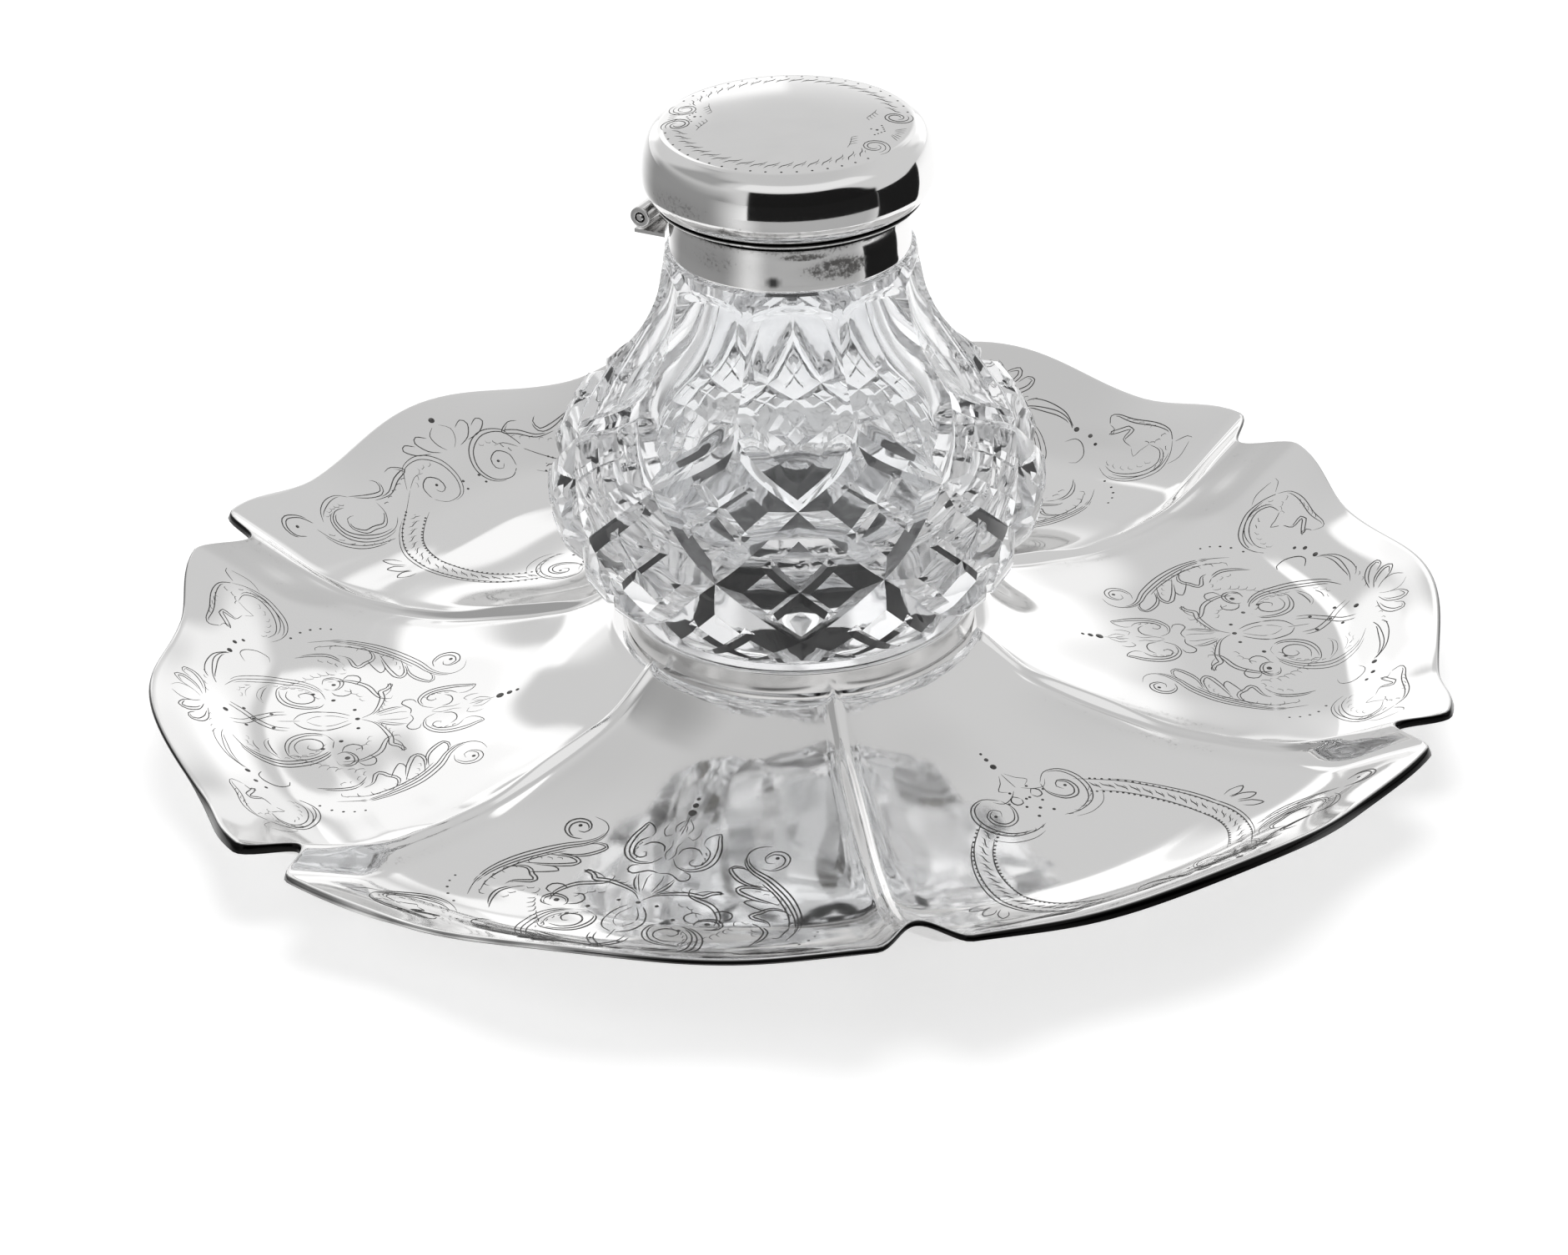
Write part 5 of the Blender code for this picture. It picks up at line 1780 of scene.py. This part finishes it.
def gapMarks(gap):
    # A fan of short rays with a row of dots under it, and two dots more towards the middle
    strokes, dots = [], []
    spread, radius, fall, size = lidDesign["fanDots"]
    for step in range(-lidDesign["fanReach"], lidDesign["fanReach"] + 1):
        strokes.append([onLid(gap + step * wide, reach) for wide, reach in lidDesign["fanRays"]])
        dots.append((*onLid(gap + step * spread, radius - abs(step) * fall), size))
    return strokes, dots + [(*onLid(gap, reach), size) for reach, size in lidDesign["gapDots"]]


def engraveLid():
    strokes, dots = [], []
    found = [arcMarks(*arc) for arc in lidDesign["arcs"]] + [gapMarks(gap) for gap in lidDesign["gaps"]]
    for moreStrokes, moreDots in found:
        strokes += moreStrokes
        dots += moreDots
    marks = layOn(strokes, dots, lidPlace, lidDesign["weight"])
    addEngraving("lid_engraving", marks, "lid", "lid_shell")


engraveDish()
engraveLid()
print("engraving made")


# Floor, light and camera

camera = {
    "focal": 5974.559,
    "distance": 8.15338,
    "elevation": radians(28.43208),
    "roll": radians(1.575054),
    "pan": radians(0.195418),
    "tilt": radians(-0.0712227),
    "unit": 115.0 * mm,
    "aimHeight": 17.5 * mm,
    "photoWidth": 1880.0,
    "sensor": 36.0,
    "nearest": 0.01,
    "furthest": 20.0,
}


def makeCamera():
    lens = bpy.data.cameras.new("camera")
    lens.sensor_width = camera["sensor"]
    lens.lens = camera["focal"] * camera["sensor"] / camera["photoWidth"]
    lens.clip_start = camera["nearest"]
    lens.clip_end = camera["furthest"]
    holder = placeObject("camera", lens)
    back = Vector((0.0, -cos(camera["elevation"]), sin(camera["elevation"])))
    ahead, right = -back, Vector((1.0, 0.0, 0.0))
    up = right.cross(ahead)
    turn = Matrix.Rotation(camera["pan"], 3, up)
    ahead, right = turn @ ahead, turn @ right
    turn = Matrix.Rotation(camera["tilt"], 3, right)
    ahead, up = turn @ ahead, turn @ up
    turn = Matrix.Rotation(camera["roll"], 3, ahead)
    right, up = turn @ right, turn @ up
    pose = Matrix((right, up, -ahead)).transposed().to_4x4()
    pose.translation = back * camera["distance"] * camera["unit"] + upward * camera["aimHeight"]
    holder.matrix_world = pose
    bpy.context.scene.camera = holder


floorLook = {
    "half": 2.5,
    "grain": (7.0, 2.0, 0.5),
    "darker": grey(0.80),
    "paler": grey(0.82),
    "rough": 0.95,
    "glowFrom": 0.4,
    "glowTo": 1.6,
    "glowNear": grey(0.44),
    "glowFar": grey(0.9),
    "mirrored": grey(0.34),
}


def makeFloor():
    look = floorLook
    material, tree = newMaterial("studio_floor")
    seen, glossy, through = tree.rays()
    grain = tree.noise(*look["grain"])
    share = (seen + glossy + through).clear(0.0, 1.0)
    # Away from the object the lamps reach it less, so it glows more
    away = tree.add("ShaderNodeVectorMath", {"operation": "LENGTH"}, {0: tree.place()}, output=1)
    shown = tree.mix(away.clear(look["glowFrom"], look["glowTo"]), look["glowNear"], look["glowFar"])
    values = {
        "Base Color": tree.mix(grain, look["darker"], look["paler"]),
        "Roughness": look["rough"],
        "Specular IOR Level": 0.0,
        "Emission Color": tree.mix(share, grey(0.0), tree.mix(seen, look["mirrored"], shown)),
        "Emission Strength": 1.0,
    }
    finishSurface(material, tree, values)
    half = look["half"]
    corners = [(-half, -half, 0.0), (half, -half, 0.0), (half, half, 0.0), (-half, half, 0.0)]
    mesh = bpy.data.meshes.new("floor")
    mesh.from_pydata(corners, [], [(0, 1, 2, 3)])
    mesh.materials.append(material)
    floor = placeObject("floor", mesh)


# What metal and glass see. A patch is its left, right, low and high edge and its softness, in degrees.
# A card is its first and last azimuth and softness in degrees, near and far radius, level and height.
# The screen is its left, right, distance behind, low and high edge, level and softness.

studio = {
    "room": 0.635,
    "overhead": 0.56,
    "overheadFrom": (45.0, 75.0),
    "throughGlass": 0.95,
    "glassDark": 0.2,
    "ambient": 0.55,
    "darkShare": 0.985,
    "darkFront": (-32.0, 70.0, -60.0, 21.5, 2.0),
    "frontSlope": 17.0,
    "slopeFrom": (36.0, 72.0),
    "darkSide": (70.0, 117.0, -60.0, -2.0, 1.0),
    "dimLeft": (-115.0, -58.0, 18.0, 60.0, 9.0),
    "dimLeftShare": 0.45,
    "dimLow": (-128.0, -44.0, -80.0, 10.0, 10.0),
    "dimLowShare": 0.55,
    "backGlow": (-6.0, 17.0, 6.0),
    "backFrom": (0.45, 0.9),
    "backLevel": 0.28,
    "frontGlow": (-44.0, 74.0, 24.0, 58.0, 5.0),
    "frontLevel": 0.20,
    "leftGlow": (-170.0, -156.0, -10.0, 44.0, 2.5),
    "lowGlow": (-181.0, -150.0, -14.0, 18.0, 2.5),
    "leftLevel": 0.48,
    "rightGlow": (140.0, 166.0, -8.0, 34.0, 4.0),
    "rightLevel": 0.30,
}
cards = {
    "leftCard": (-165.0, -22.0, 22.0, 0.18, 3.6, 0.28, 0.0006),
    "frontCard": (-46.0, 86.0, 14.0, 0.15, 0.36, 0.43, 0.0012),
    "frontCloth": (-32.0, 70.5, 0.5, 0.36, 3.6, 0.012, 0.0018),
    "sideCloth": (69.5, 117.0, 0.5, 0.196, 3.6, 0.012, 0.0024),
}
cardSteps = 24
screens = {"leftScreen": (-0.25, -0.035, 0.5, 0.205, 0.335, 1.02, 0.014)}
lamps = {
    "lamp_over": {"place": (0.1, 0.35, 1.5), "aim": (0.0, 0.0, 0.0), "size": 1.0, "watts": 7.0},
    "lamp_left": {"place": (-1.2, -0.2, 0.9), "aim": (0.0, 0.0, 0.05), "size": 0.7, "watts": 2.0},
}


def makeWorld():
    # A white room to the camera; metal and glass see a softly lit studio with a dark camera side
    world = bpy.data.worlds.new("studio")
    bpy.context.scene.world = world
    tree = Tree(world)
    seen, glossy, through = tree.rays()
    east, north, height = tree.split(tree.add("ShaderNodeTexCoord"))
    azimuth = east.maths("ARCTAN2", east, 0.0 - north)
    elevation = height.maths("ARCSINE", height)

    def inRadians(name):
        return [radians(value) for value in studio[name]]

    def patch(name, rise=elevation):
        left, right, low, high, soft = inRadians(name)
        return azimuth.within(left, right, soft) * rise.within(low, high, soft)

    sloped = elevation + radians(studio["frontSlope"]) * azimuth.clear(*inRadians("slopeFrom"))
    dark = (patch("darkFront", sloped) + patch("darkSide")).clear(0.0, 1.0)
    room, overhead = studio["room"], studio["overhead"]
    mirrored = room + (overhead - room) * elevation.clear(*inRadians("overheadFrom"))
    mirrored = mirrored * (1.0 - studio["dimLeftShare"] * patch("dimLeft")) * (1.0 - studio["darkShare"] * dark)
    mirrored = mirrored * (1.0 - studio["dimLowShare"] * patch("dimLow"))
    glow = north.clear(*studio["backFrom"]) * elevation.within(*inRadians("backGlow"))
    left = (patch("leftGlow") + patch("lowGlow")).clear(0.0, 1.0)
    mirrored = mirrored + studio["backLevel"] * glow * (1.0 - left) + studio["leftLevel"] * left
    mirrored = mirrored + studio["rightLevel"] * patch("rightGlow")
    mirrored = mirrored + studio["frontLevel"] * patch("frontGlow") * (1.0 - dark)
    inGlass = studio["throughGlass"] * (1.0 - studio["glassDark"] * dark)
    rest = (1.0 - seen) * (1.0 - glossy) * (1.0 - through)
    strength = seen + (1.0 - seen) * (glossy * mirrored + (1.0 - glossy) * through * inGlass)
    strength = strength + rest * studio["ambient"]
    back = tree.add("ShaderNodeBackground", {}, {"Color": grey(1.0), "Strength": strength})
    tree.add("ShaderNodeOutputWorld", {}, {"Surface": back})


def makeCard(name, level, corners, faces, coverage):
    # A card outside the picture that only mirrors show; coverage gives its opacity from the place on it
    material, tree = newMaterial(name)
    share = coverage(*tree.split(tree.place()))
    glow = tree.add("ShaderNodeEmission", {}, {"Color": grey(1.0), "Strength": level})
    values = {0: share, 1: tree.add("ShaderNodeBsdfTransparent"), 2: glow}
    finishMaterial(material, tree, tree.add("ShaderNodeMixShader", {}, values))
    mesh = bpy.data.meshes.new(name)
    mesh.from_pydata([tuple(corner) for corner in corners], [], faces)
    mesh.materials.append(material)
    card = placeObject(name, mesh)
    card.visible_camera = False
    card.visible_diffuse = False
    card.visible_transmission = False
    card.visible_shadow = False


def addCard(name):
    # A flat sector lying round the object, fading out at its sides
    start, end, soft, near, far, level, height = cards[name]
    start, end, soft = radians(start), radians(end), radians(soft)

    def coverage(east, north, up):
        return east.maths("ARCTAN2", east, 0.0 - north).within(start + soft, end - soft, soft)

    turns = [start + (end - start) * step / cardSteps for step in range(cardSteps + 1)]
    corners = [atAzimuth(turn, radius, height) for turn in turns for radius in (near, far)]
    faces = [(2 * step, 2 * step + 1, 2 * step + 3, 2 * step + 2) for step in range(cardSteps)]
    makeCard(name, level, corners, faces, coverage)


def addScreen(name):
    # An upright card behind the object, fading out at its edges
    left, right, away, low, high, level, soft = screens[name]

    def coverage(east, north, up):
        return east.within(left + soft, right - soft, soft) * up.within(low + soft, high - soft, soft)

    corners = [(left, away, low), (right, away, low), (right, away, high), (left, away, high)]
    makeCard(name, level, corners, [(0, 1, 2, 3)], coverage)


def addLamp(name):
    look = lamps[name]
    light = bpy.data.lights.new(name, "AREA")
    light.shape = "DISK"
    light.size = look["size"]
    light.energy = look["watts"]
    lamp = placeObject(name, light)
    lamp.location = look["place"]
    lamp.rotation_euler = (Vector(look["aim"]) - Vector(look["place"])).to_track_quat("-Z", "Y").to_euler()
    lamp.visible_glossy = False
    lamp.visible_transmission = False


makeCamera()
makeFloor()
makeWorld()
for cardName in cards:
    addCard(cardName)
for screenName in screens:
    addScreen(screenName)
for lampName in lamps:
    addLamp(lampName)
bpy.context.scene.view_settings.view_transform = "Standard"
# Light goes through many facets of the cut glass before it leaves again
bpy.context.scene.cycles.max_bounces = 28
bpy.context.scene.cycles.transmission_bounces = 28
bpy.context.scene.cycles.glossy_bounces = 12
print("stage made")
